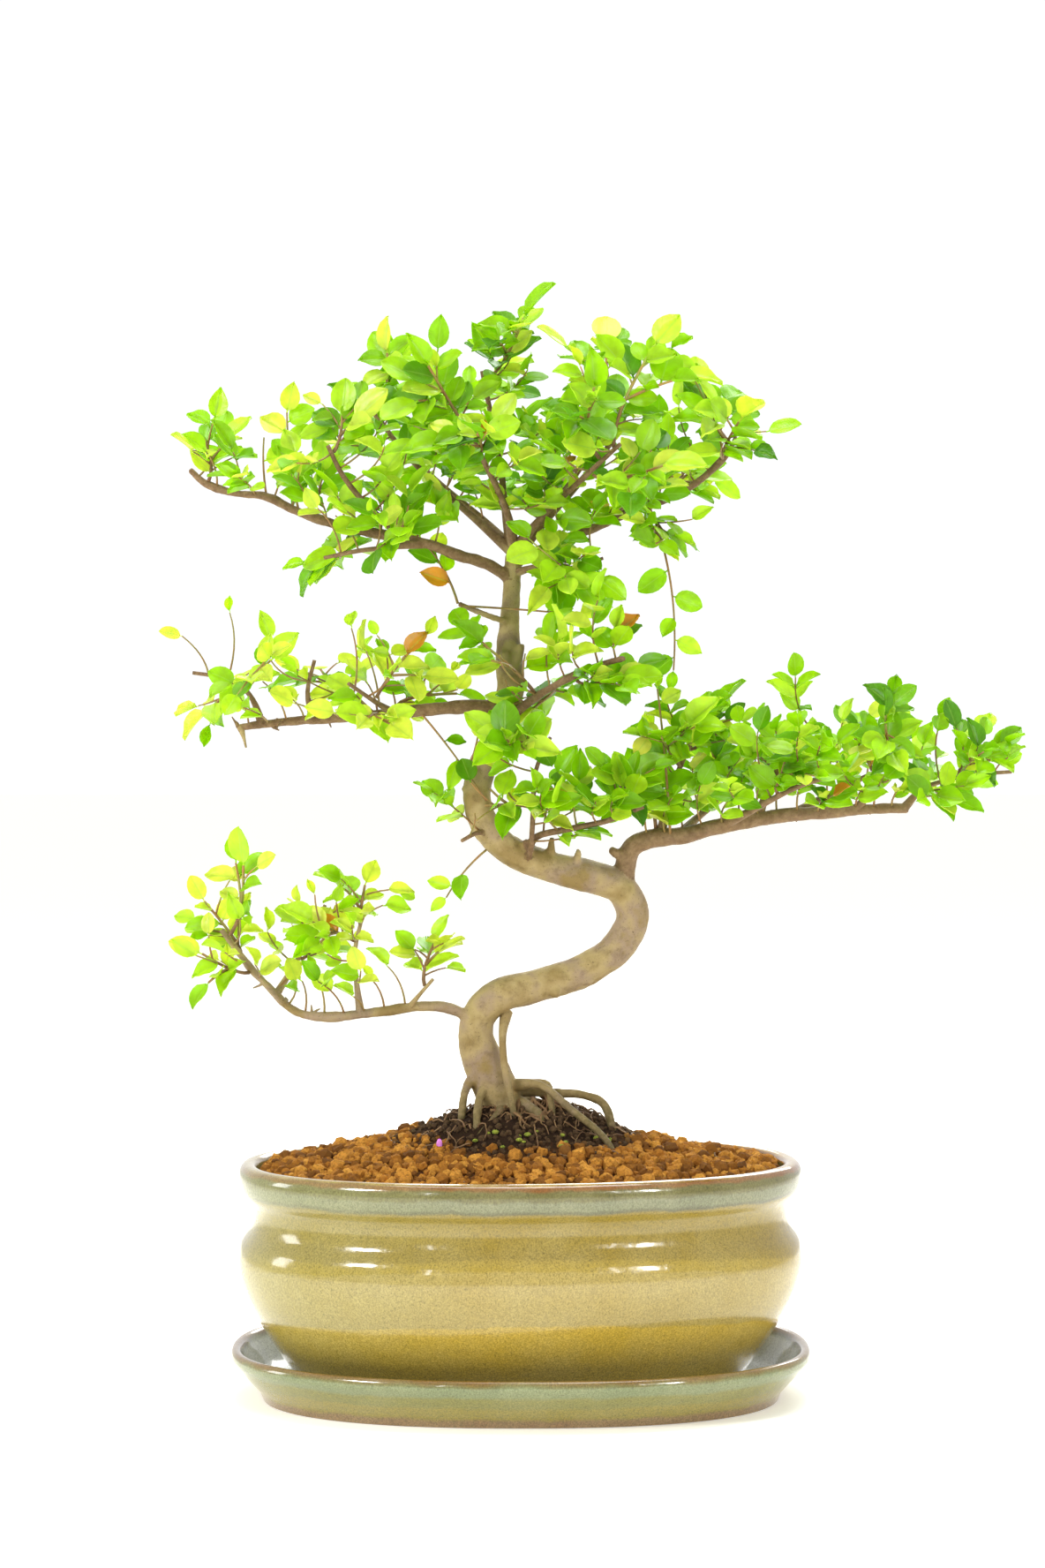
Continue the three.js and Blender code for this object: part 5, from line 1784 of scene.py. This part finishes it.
@dataclass
class FineGrowth:
    """The growth between the CAD source's leaves: more twigs and smaller leaves on the same sprays."""

    growth: Growth
    twig_radius: float = 0.45
    twig_places: tuple[tuple[float, int], ...] = ((0.3, 1), (0.46, -1), (0.7, -1), (0.84, 1))
    twig_length: Pair = (9, 17)
    twig_clear: float = 0.7
    twig_tries: int = 6
    main_pairs: tuple[float, ...] = (0.24, 0.56, 0.88)
    side_pairs: tuple[float, ...] = (0.32, 0.84)
    fine_pairs: tuple[float, ...] = (0.38, 0.7)
    looser: dict[str, object] = field(default_factory=lambda: {
        "clear_of_leaves": 2.2, "clear_of_own_leaves": 1.8, "clear_of_own_twigs": 0.4, "clear_of_wood": 0.6,
        "leaf_length": (9, 17), "leaf_width": (0.52, 0.7), "leaf_stray": (0.7, 0.7, 0.8), "leaf_tries": 5,
        "face_to_front": 0.6, "face_stray": 1.3, "leaf_probes": (
            (0.3, 0), (0.55, 0), (0.8, 0), (1, 0), (0.3, 0.38), (0.3, -0.38),
            (0.58, 0.48), (0.58, -0.48), (0.84, 0.27), (0.84, -0.27))})
    lushness: dict[str, float] = field(default_factory=lambda: {
        "crown": 0.8, "crown_tip": 0.2, "left": 0.22, "low_left": 0.22, "low_tip": 0.2, "low_crown": 0.6})
    spur_step: float = 7
    spur_length: Pair = (10, 28)

    def loosen(self) -> None:
        """Lets the finer leaves grow closer together and turn more to the front."""
        for name, value in self.looser.items():
            setattr(self.growth, name, value)

    def has_room(self, twig: Twig, *shares: float) -> bool:
        """Whether a twig stands clear of wood and leaves.

        Args:
            twig: The twig.
            shares: Where it is probed.

        Returns:
            Whether it does.
        """
        probes = twig.points(shares)
        crowds = (self.growth.wood, self.growth.leaves)
        return all(crowd.least_gap(probes, twig.radius) >= self.twig_clear for crowd in crowds)

    def fine_twig(self, spray: Spray, spot: Spot, sign: int, draw: Draw) -> Twig | None:
        """A fine twig from a place on a twig.

        Args:
            spray: The spray.
            spot: The place.
            sign: 1 for the right side and -1 for the left.
            draw: The draws.

        Returns:
            The twig, or None where there is no room.
        """
        sideways = unit(np.cross(spot.along, spray.facing))
        for _ in range(self.twig_tries):
            way = spot.along * 0.6 + sideways * sign * 0.7
            way = unit(way + np.array([0.9 * (draw() - 0.5) for _ in range(3)]) + UP * 0.15)
            length = draw.between(*self.twig_length)
            control = spot.point + way * length / 2 + spot.along * length * 0.1
            twig = Twig(spot.point, control, spot.point + way * length, self.twig_radius)
            if self.has_room(twig, 0.45, 0.7, 1):
                return twig
        return None

    def leaf_up(self, spray: Spray, twig: Twig, shares: Sequence[float], draw: Draw,
                end: bool = False) -> None:
        """Grows leaves along a twig.

        Args:
            spray: The spray.
            twig: The twig.
            shares: Where its pairs of leaves grow.
            draw: The draws.
            end: Whether it also gets a leaf at its end.
        """
        places = [(share, sign) for share in shares for sign in (1, -1)]
        places = [place for place in places if draw() < self.lushness.get(spray.pad.name, 1)]
        if end:
            places.insert(0, (1, 0))
        for share, sign in places:
            self.growth.add_leaf(spray, twig.spot(share), sign, draw)

    def fill_sprays(self) -> None:
        """Adds fine twigs and leaves to every spray."""
        for spray in self.growth.sprays:
            draw = Draw(spray.pad.seed * 7919 + spray.rank)
            main = spray.twigs[0]
            grown = list(spray.twigs)
            for share, sign in self.twig_places:
                twig = self.fine_twig(spray, main.spot(share), sign, draw)
                if twig is not None:
                    self.growth.wood.add(*twig.balls(2), spray.owner)
                    spray.twigs.append(twig)
            self.leaf_up(spray, main, self.main_pairs, draw)
            for twig in grown[1:]:
                self.leaf_up(spray, twig, self.side_pairs, draw)
            for twig in spray.twigs[len(grown):]:
                self.leaf_up(spray, twig, self.fine_pairs, draw, True)

    def grow_spurs(self) -> None:
        """Grows short leafy spurs straight from the boughs, one piece for each pad."""
        for pad in PADS:
            if pad.sprays < 2:
                continue
            draw = Draw(pad.seed * 131 + 7)
            spurs = Spray(f"{pad.name}_spurs", pad, 0, len(self.growth.sprays), UP, [], node=False)
            last: Array | None = None
            for place in self.growth.budding_places(pad):
                if last is not None and math.dist(last, place.point) < self.spur_step:
                    continue
                twig = self.spur(place, pad, draw)
                if twig is None:
                    continue
                last = place.point
                spurs.facing = unit(UP * 0.7 + (twig.end - twig.start) / twig.length * 0.5)
                spurs.twigs.append(twig)
                self.growth.wood.add(*twig.balls(2), spurs.owner)
                self.leaf_up(spurs, twig, (0.35, 0.58, 0.8), draw, True)
            self.growth.sprays.append(spurs)

    def grow_shoots(self) -> None:
        """Grows the long single shoots that stand clear of the pads."""
        for rank, (route, radius, shares) in enumerate(SHOOTS):
            draw = Draw(977 + rank)
            start, control, end = (np.array(point, dtype=float) for point in route)
            twig = Twig(start, control, end, radius)
            owner = len(self.growth.sprays)
            facing = unit(UP * 0.6 + FRONT)
            shoot = Spray(f"shoot_{rank + 1}", PADS[1], rank, owner, facing, [twig], node=False)
            self.growth.wood.add(*twig.balls(2), shoot.owner)
            places = [(1, 0), *((share, 1 if i % 2 else -1) for i, share in enumerate(shares))]
            for share, sign in places:
                self.growth.add_leaf(shoot, twig.spot(share), sign, draw)
            self.growth.sprays.append(shoot)

    def spur(self, place: Spot, pad: Pad, draw: Draw) -> Twig | None:
        """A spur that leaves a bough sideways or upwards.

        Args:
            place: Where it starts.
            pad: The pad.
            draw: The draws.

        Returns:
            The spur, or None where there is no room.
        """
        for _ in range(self.twig_tries):
            way = np.array([draw() - 0.5, draw() - 0.8, 0.15 + 0.5 * draw()])
            way = across(way, place.along)
            start = place.point + way * place.radius * 0.6
            length = draw.between(*self.spur_length)
            end = start + way * length + place.along * length * 0.3
            twig = Twig(start, start + way * length * 0.6, end, self.twig_radius)
            if self.has_room(twig, 0.5, 0.75, 1):
                return twig
        return None


@dataclass(frozen=True)
class LeafForm:
    """A leaf of length 1 and width 1, modelled once: a thin closed blade, folded and arched, on its stalk.

    The rows are shares of the length with the share of the full width there.
    """

    name: str
    rows: tuple[Pair, ...]
    fold: float
    arch: float
    thickness: float = 0.022
    stalk: float = 0.1
    stalk_radius: float = 0.02
    breadth: float = 0.6

    def model(self, leaf_material: Material) -> Object:
        """Models the leaf.

        Args:
            leaf_material: The leaf's material.

        Returns:
            The leaf, which the caller copies and then removes.
        """
        grid = bpy.ops.mesh.primitive_grid_add
        blade = add(self.name, grid, x_subdivisions=len(self.rows) - 1, y_subdivisions=4, size=1)
        columns = sorted({round(vertex.co.x, 4) for vertex in blade.data.vertices})
        with editing(blade):
            for column, (share, width) in reversed(list(zip(columns, self.rows))):
                select_vertices(blade, lambda co, at=column: abs(co.x - at) < 1e-3)
                bpy.ops.transform.resize(value=(1, width, 1), center_override=(column, 0, 0))
                reach = self.stalk + (1 - self.stalk) * share
                bpy.ops.transform.translate(value=(reach + 1 - column, 0, -self.arch * reach * reach))
            for side, rise in ((0.01, 0.14), (0.26, 0.11)):
                select_vertices(blade, lambda co, at=side: abs(co.y) > at)
                bpy.ops.transform.translate(value=(0, 0, rise * self.fold * self.breadth))
            bpy.ops.mesh.select_all(action="SELECT")
            bpy.ops.transform.translate(value=(-1, 0, 0))
        apply_modifier(blade, "SOLIDIFY", thickness=self.thickness, offset=-1)
        smooth(blade, 60)
        self.add_stalk(blade)
        mark(blade, "tint")
        paint(blade, leaf_material)
        return blade

    def add_stalk(self, blade: Object) -> None:
        """Adds the stalk, from the twig to the blade.

        Args:
            blade: The blade.
        """
        stalk = add(
            "stalk", bpy.ops.mesh.primitive_cone_add, vertices=4, radius1=self.stalk_radius * 1.3,
            radius2=self.stalk_radius, depth=self.stalk * 1.3,
            location=(self.stalk * 0.65, 0, -self.thickness / 2), rotation=(0, math.pi / 2, 0))
        settle(stalk)
        stalk.data.transform(Matrix.Diagonal((1, 1 / self.breadth, 1, 1)))
        join([blade, stalk], self.name)


@dataclass
class Foliage:
    """All leafy sprays."""

    limbs: Sequence[Limb]
    draw: Draws = field(default_factory=lambda: np.random.default_rng(5))
    forms: tuple[LeafForm, ...] = (
        LeafForm("ovate_leaf", (
            (0, 0.06), (0.05, 0.42), (0.16, 0.76), (0.32, 0.97), (0.5, 1), (0.67, 0.84), (0.82, 0.56),
            (0.93, 0.26), (1, 0.04)), 0.9, 0.14),
        LeafForm("round_leaf", (
            (0, 0.06), (0.04, 0.46), (0.14, 0.82), (0.3, 1.06), (0.5, 1.12), (0.69, 0.98), (0.85, 0.68),
            (0.95, 0.34), (1, 0.06)), 0.5, 0.08),
        LeafForm("drooping_leaf", (
            (0, 0.05), (0.05, 0.38), (0.17, 0.74), (0.34, 0.96), (0.52, 0.97), (0.69, 0.76), (0.84, 0.46),
            (0.94, 0.2), (1, 0.03)), 1.4, 0.3),
        LeafForm("young_leaf", (
            (0, 0.05), (0.06, 0.3), (0.2, 0.64), (0.38, 0.86), (0.56, 0.84), (0.73, 0.6), (0.87, 0.32),
            (0.95, 0.14), (1, 0.03)), 2, 0.05),
    )
    lighter: dict[str, float] = field(default_factory=lambda: {
        "crown_tip": 0.2, "left": 0.2, "low_left": 0.22, "low_tip": 0.22})
    green_share: float = 0.35
    young_reach: float = 45
    young_length: float = 11
    middle_tint: float = 0.41
    tint_spread: float = 0.18
    pale_from: float = 0.93
    autumn_from: float = 0.991
    shares: Triple = (0.45, 0.3, 0.25)

    def tint(self, spray: Spray, leaf: Leaf) -> float:
        """The tint of a leaf: leaves deep inside a spray are darker, partly for age and partly as painted
        shade, and young ones at the tips pale.

        Args:
            spray: The spray.
            leaf: The leaf.

        Returns:
            The tint, from 0, deep green, to 1, dried.
        """
        tip = spray.twigs[0].end if spray.node else leaf.base
        tip_youth_and_light = 1 - min(1, math.dist(leaf.base, tip) / 30)
        young = self.draw.random()
        if young > self.autumn_from:
            return float(self.draw.uniform(0.9, 1))
        if young > self.pale_from:
            return float(self.draw.uniform(0.76, 0.88))
        small = max(0, (14 - leaf.length) / 8)
        # Leaves far from the spray's tip get a darker green: partly older leaves, partly painted shade deep
        # in the spray.
        middle = self.middle_tint + 0.12 * tip_youth_and_light + 0.14 * small + self.lighter.get(spray.pad.name, 0)
        return float(np.clip(self.draw.normal(middle, self.tint_spread), 0.02, 0.84))

    def twig_tint(self, spray: Spray, place: Vector) -> float:
        """How young the twigs are at a place, from 0, old and brown, to 1."""
        start = spray.twigs[0].start
        return min(1, math.dist(place, start) / self.young_reach) if spray.node else self.green_share

    def plant(self, spray: Spray, forms: Sequence[Object], twig_bark: Material) -> None:
        """Models a spray and dresses it.

        Args:
            spray: The spray.
            forms: The leaf forms.
            twig_bark: The twigs' material.
        """
        twigs = limb_tubes(f"{spray.name}_twigs", [twig.limb() for twig in spray.twigs], 1, 1)
        paint(twigs, twig_bark)
        mark(twigs, "tint", [self.twig_tint(spray, Vector(vertex.co) / MM) for vertex in twigs.data.vertices])
        pick(twigs)
        bpy.ops.object.shade_smooth()
        pieces = [twigs]
        for leaf in spray.leaves:
            young = leaf.length < self.young_length and self.draw.random() < 0.5
            form = forms[3 if young else int(self.draw.choice(3, p=self.shares))]
            pieces.append(copy_of(form, leaf.matrix(), tint=self.tint(spray, leaf)))
        whole = join(pieces, f"leafy_{spray.name}")
        dress(whole, None, Slot.LEAF, *((spray.name,) if spray.node else ()))

    def build(self) -> None:
        """Grows, models and dresses the foliage."""
        growth = Growth(self.limbs)
        growth.grow_twigs()
        growth.grow_leaves()
        fine = FineGrowth(growth)
        fine.loosen()
        fine.fill_sprays()
        fine.grow_shoots()
        fine.grow_spurs()
        log.info("leaves %d", sum(len(spray.leaves) for spray in growth.sprays))
        green = LeafGreen("leaf_green").material()
        twig_bark = TwigBark("twig_bark").material()
        forms = [form.model(green) for form in self.forms]
        for spray in growth.sprays:
            if spray.twigs:
                self.plant(spray, forms, twig_bark)
        for form in forms:
            bpy.data.objects.remove(form)


# Soil


@dataclass
class Soil:
    """The clay granules, the humus round the roots and the bits of moss on the CAD soil."""

    limbs: Sequence[Limb]
    spacing: float = 2.85
    wall_gap: float = 2.4
    rim: float = 109.2
    size: Pair = (0.8, 2.5)
    humus_size: Pair = (0.45, 1.2)
    humus_reach: float = 53
    loose: int = 200
    stray: float = 1.3
    row_share: float = 0.866
    fibres: int = 130
    rootlets: int = 26
    rootlet_rise: float = 4.5
    rootlet_start: float = 8
    rootlet_step: float = 3.2
    draw: Draws = field(default_factory=lambda: np.random.default_rng(31))
    form_count: int = 6
    moss: tuple[Pair, ...] = ((4, -30), (-13, -27), (36, -24), (-4, -35), (14, -33))
    moss_tufts: int = 3
    moss_size: Pair = (0.7, 1.5)
    petal: Pair = (-33, -32)
    surface: BVHTree | None = None

    def height(self, x: float, y: float) -> float | None:
        """The height of the soil in metres at a place in millimetres, or None beside it."""
        place, _, _, _ = self.surface.ray_cast(Vector((x * MM, y * MM, 0.3)), Vector((0, 0, -1)))
        return None if place is None else place.z

    def granule_forms(self) -> list[Object]:
        """A few crumbly granules of diameter 2, modelled once.

        Returns:
            The granules.
        """
        forms = []
        for i in range(self.form_count):
            granule = add(f"granule_{i}", bpy.ops.mesh.primitive_cube_add, size=1.5)
            with editing(granule):
                bpy.ops.mesh.subdivide(number_cuts=1, smoothness=0.9)
                bpy.ops.transform.vertex_random(offset=0.3, seed=i + 1)
            apply_modifier(granule, "CAST", factor=0.3, radius=1.0)
            for vertex in granule.data.vertices:
                vertex.co *= 1 + 0.34 * (self.draw.random() - 0.5)
            mark(granule, "tint")
            mark(granule, "humus")
            forms.append(granule)
        return forms

    def spots(self) -> list[tuple[float, float, float, float]]:
        """Where the granules lie: an even layer with loose ones on top.

        Returns:
            Rows of x, y, size and how far humus reaches.
        """
        rows = []
        steps = int(POT_OVAL.half_length / self.spacing) + 1
        for i in range(-steps, steps + 1):
            for j in range(-steps, steps + 1):
                x = (i + 0.5 * (j % 2)) * self.spacing + self.draw.uniform(-self.stray, self.stray)
                y = j * self.spacing * self.row_share + self.draw.uniform(-self.stray, self.stray)
                rows.append((x, y))
        rows.extend((self.draw.uniform(-100, 100), self.draw.uniform(-66, 66)) for _ in range(self.loose))
        turn, full = POT_OVAL.turn, POT_OVAL.fullness
        inset = POT_OVAL.half_length - self.rim + self.wall_gap
        length, width = POT_OVAL.half_length - inset, POT_OVAL.half_width - inset
        made = []
        for x, y in rows:
            along = x * math.cos(turn) + y * math.sin(turn)
            aside = y * math.cos(turn) - x * math.sin(turn)
            if (abs(along) / length) ** full + (abs(aside) / width) ** full > 1:
                continue
            away = math.hypot(x - 3, 1.25 * y) + self.draw.uniform(-10, 8)
            dark = float(np.clip((self.humus_reach - away) / 6, 0, 1))
            low, high = self.humus_size if dark > 0.5 else self.size
            made.append((x, y, low + (high - low) * self.draw.random() ** 1.6, dark))
        return made

    def build(self) -> None:
        """Builds and dresses the soil."""
        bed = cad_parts["soil"]
        places = [vertex.co.copy() for vertex in bed.data.vertices]
        self.surface = BVHTree.FromPolygons(places, [list(face.vertices) for face in bed.data.polygons])
        paint(bed, SoilBed("soil_bed").material())
        forms = self.granule_forms()
        wood = Growth(self.limbs).wood
        pieces = []
        for x, y, size, dark in self.spots():
            height = self.height(x, y)
            if height is None or wood.least_gap(np.array([[x, y, height / MM]]), 0) < size * 0.7:
                continue
            form = forms[int(self.draw.integers(len(forms)))]
            turned = Vector(self.draw.normal(size=3)).normalized().rotation_difference(Vector(UP))
            stretch = Matrix.Diagonal((*(size * MM * self.draw.uniform(0.82, 1.18, 3)), 1))
            lift = size * self.draw.uniform(0.0, 0.7) * MM
            place = Matrix.Translation((x * MM, y * MM, height + lift))
            place = place @ turned.to_matrix().to_4x4() @ stretch
            pieces.append(copy_of(form, place, tint=self.draw.random(), humus=dark))
        for form in forms:
            bpy.data.objects.remove(form)
        granules = join(pieces, "clay_granules")
        smooth(granules, 35)
        dress(granules, Clay("clay_granules").material(), Slot.SOIL)
        self.lay_fibres()
        self.grow_moss()
        self.drop_petal()

    def rootlet(self) -> Limb | None:
        """A slim root that runs from the foot of the trunk down over the humus.

        Returns:
            The root, or None where the soil is too short for it.
        """
        way = self.draw.uniform(0, 2 * math.pi)
        points = []
        for step in range(7):
            way += self.draw.normal(0, 0.16)
            reach = self.rootlet_start + self.rootlet_step * step
            x, y = 1 + reach * math.cos(way), reach * math.sin(way) - 1
            height = self.height(x, y)
            if height is not None:
                points.append((x, y, height / MM + self.rootlet_rise * (1 - step / 4)))
        return Limb.tapered(points, (self.draw.uniform(0.7, 1.2), 0.45)) if len(points) > 3 else None

    def lay_fibres(self) -> None:
        """Lays fine root fibres over the humus."""
        strands = []
        for _ in range(self.fibres):
            place = np.array([4, 0]) + self.draw.normal(size=2) * (24, 17)
            way = self.draw.uniform(0, 2 * math.pi)
            points = []
            for _ in range(7):
                height = self.height(*place)
                if height is None:
                    break
                points.append((*place, height / MM + self.draw.uniform(0.5, 2.4)))
                way += self.draw.normal(0, 0.55)
                place = place + np.array([math.cos(way), math.sin(way)]) * self.draw.uniform(1.6, 3.2)
            if len(points) > 2:
                strands.append(Limb.tapered(points, (self.draw.uniform(0.22, 0.5), 0.15)))
        strands.extend(filter(None, (self.rootlet() for _ in range(self.rootlets))))
        fibres = limb_tubes("root_fibres", strands, 0, 2)
        mark(fibres, "tint")
        dress(fibres, TwigBark("fibre_bark").material(), Slot.BARK)

    def grow_moss(self) -> None:
        """Models the bits of moss."""
        rows = [
            (x + self.draw.normal(0, 3.5), y + self.draw.normal(0, 2), self.draw.uniform(*self.moss_size))
            for x, y in self.moss for _ in range(self.moss_tufts)]
        pieces = []
        for x, y, size in rows:
            place = (x * MM, y * MM, self.height(x, y) + 1.3 * MM)
            sphere = bpy.ops.mesh.primitive_ico_sphere_add
            tuft = add("tuft", sphere, subdivisions=3, radius=size * MM, location=place)
            with editing(tuft):
                bpy.ops.transform.resize(value=(1, 0.8, 0.6))
                bpy.ops.transform.vertex_random(offset=0.25 * MM, seed=int(self.draw.integers(1000)))
            settle(tuft)
            pieces.append(tuft)
        moss = join(pieces, "moss")
        smooth(moss, 80)
        dress(moss, MOSS_GREEN.material(), Slot.SOIL)

    def drop_petal(self) -> None:
        """Models the fallen petal."""
        x, y = self.petal
        height = self.height(x, y)
        circle = bpy.ops.mesh.primitive_circle_add
        petal = add("fallen_petal", circle, vertices=16, radius=2.1 * MM, fill_type="NGON")
        with editing(petal):
            bpy.ops.transform.resize(value=(0.55, 1.1, 1))
            bpy.ops.mesh.inset(thickness=0.6 * MM, depth=-0.5 * MM)
            bpy.ops.mesh.select_all(action="SELECT")
            bpy.ops.transform.rotate(value=math.radians(78), orient_axis="X", center_override=(0, 0, 0))
            bpy.ops.transform.translate(value=(x * MM, y * MM, height + 3.6 * MM))
        apply_modifier(petal, "SOLIDIFY", thickness=0.25 * MM)
        apply_modifier(petal, "SUBSURF", levels=1, render_levels=1)
        smooth(petal, 60)
        settle(petal)
        dress(petal, PETAL_PINK.material(), Slot.LEAF)


# Studio


@dataclass
class Studio:
    """A pale floor, soft light from large panels and the camera at the photograph's angle."""

    distance: float = 1320
    height: float = 265
    focal_pixels: float = 3600
    picture_height: float = 1776
    horizon: float = 855
    centre_x: float = 590
    picture_width: float = 1184
    sensor: float = 36
    front_light: float = 0.5
    back_light: float = 1.1
    floor_colour: Colour = (0.97, 0.96, 0.9)
    floor_glow: float = 0.26

    def camera(self) -> None:
        """Places the camera."""
        data = bpy.data.cameras.new("camera")
        data.sensor_width = self.sensor
        data.lens = self.focal_pixels * self.sensor / self.picture_height
        camera = show("camera", data)
        sideways = (self.picture_width / 2 - self.centre_x) * self.distance / self.focal_pixels
        camera.location = (sideways * MM, -self.distance * MM, self.height * MM)
        pitch = math.atan((self.picture_height / 2 - self.horizon) / self.focal_pixels)
        camera.rotation_euler = (math.pi / 2 - pitch, 0, 0)
        data.clip_start, data.clip_end = 0.01, 50
        bpy.context.scene.camera = camera

    def panel(self, name: str, place: Triple, size: Pair, power: float) -> None:
        """Hangs a soft light that points at the tree.

        Args:
            name: Its name.
            place: Where it hangs, in metres.
            size: Its width and height in metres.
            power: Its power in watts.
        """
        data = bpy.data.lights.new(name, "AREA")
        data.shape = "RECTANGLE"
        data.size, data.size_y = size
        data.energy = power
        light = show(name, data)
        light.location = place
        aim = Vector((0, 0, 0.2)) - Vector(place)
        light.rotation_euler = aim.to_track_quat("-Z", "Y").to_euler()

    def floor(self) -> None:
        """Lays the floor."""
        floor = add("floor", bpy.ops.mesh.primitive_plane_add, size=40, location=(0, 0, -0.2 * MM))
        skin = Pattern("floor")
        skin.set(Base_Color=self.floor_colour, Roughness=0.7, Specular_IOR_Level=0.2)
        skin.set(Emission_Color=self.floor_colour, Emission_Strength=self.floor_glow)
        floor.data.materials.append(skin.material)

    def build(self) -> None:
        """Sets up the studio."""
        self.sky()
        self.camera()
        self.floor()
        self.panel("key", (-1.0, -1.0, 1.1), (0.3, 0.3), 13)
        self.panel("fill", (0.9, -1.1, 0.7), (0.12, 0.3), 5)
        self.panel("top", (0.1, 0.1, 1.7), (1.0, 0.8), 20)
        self.panel("back", (0.3, 1.2, 0.9), (0.9, 0.7), 12)
        self.panel("window", (-1.5, 0, 0.5), (0.35, 0.5), 4.5)
        self.panel("left_strip", (-0.3, -1.05, 0.55), (0.025, 0.3), 0.4)
        self.panel("right_strip", (0.53, -0.97, 0.55), (0.025, 0.3), 0.4)
        view = bpy.context.scene.view_settings
        view.view_transform = "Standard"
        view.look = "None"

    def sky(self) -> None:
        """Surrounds the object with soft light that is dimmer in front, and with plain white as backdrop."""
        world = bpy.data.worlds.new("studio")
        bpy.context.scene.world = world
        world.use_nodes = True
        nodes, links = world.node_tree.nodes, world.node_tree.links
        background = nodes["Background"]
        background.inputs["Color"].default_value = (1, 1, 1, 1)
        parts = nodes.new("ShaderNodeSeparateXYZ")
        links.new(nodes.new("ShaderNodeTexCoord").outputs["Generated"], parts.inputs[0])
        light = nodes.new("ShaderNodeMapRange")
        links.new(parts.outputs["Y"], light.inputs["Value"])
        for name, number in (("From Min", -1), ("To Min", self.front_light), ("To Max", self.back_light)):
            light.inputs[name].default_value = number
        backdrop = nodes.new("ShaderNodeMix")
        links.new(nodes.new("ShaderNodeLightPath").outputs["Is Camera Ray"], backdrop.inputs["Factor"])
        links.new(light.outputs["Result"], backdrop.inputs["A"])
        backdrop.inputs["B"].default_value = 1.05
        links.new(backdrop.outputs["Result"], background.inputs["Strength"])


def write_size() -> None:
    """Brings the view layer up to date."""
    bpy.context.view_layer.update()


def main() -> None:
    """Builds the bonsai and the studio."""
    logging.basicConfig(level=logging.INFO, format="%(name)s %(message)s")
    Studio().build()
    Tray().build()
    Pot().build()
    wood = Wood()
    wood.build()
    limbs = wood.limbs()
    Soil(limbs).build()
    Foliage(limbs).build()
    write_size()


if __name__ == "__main__":
    main()
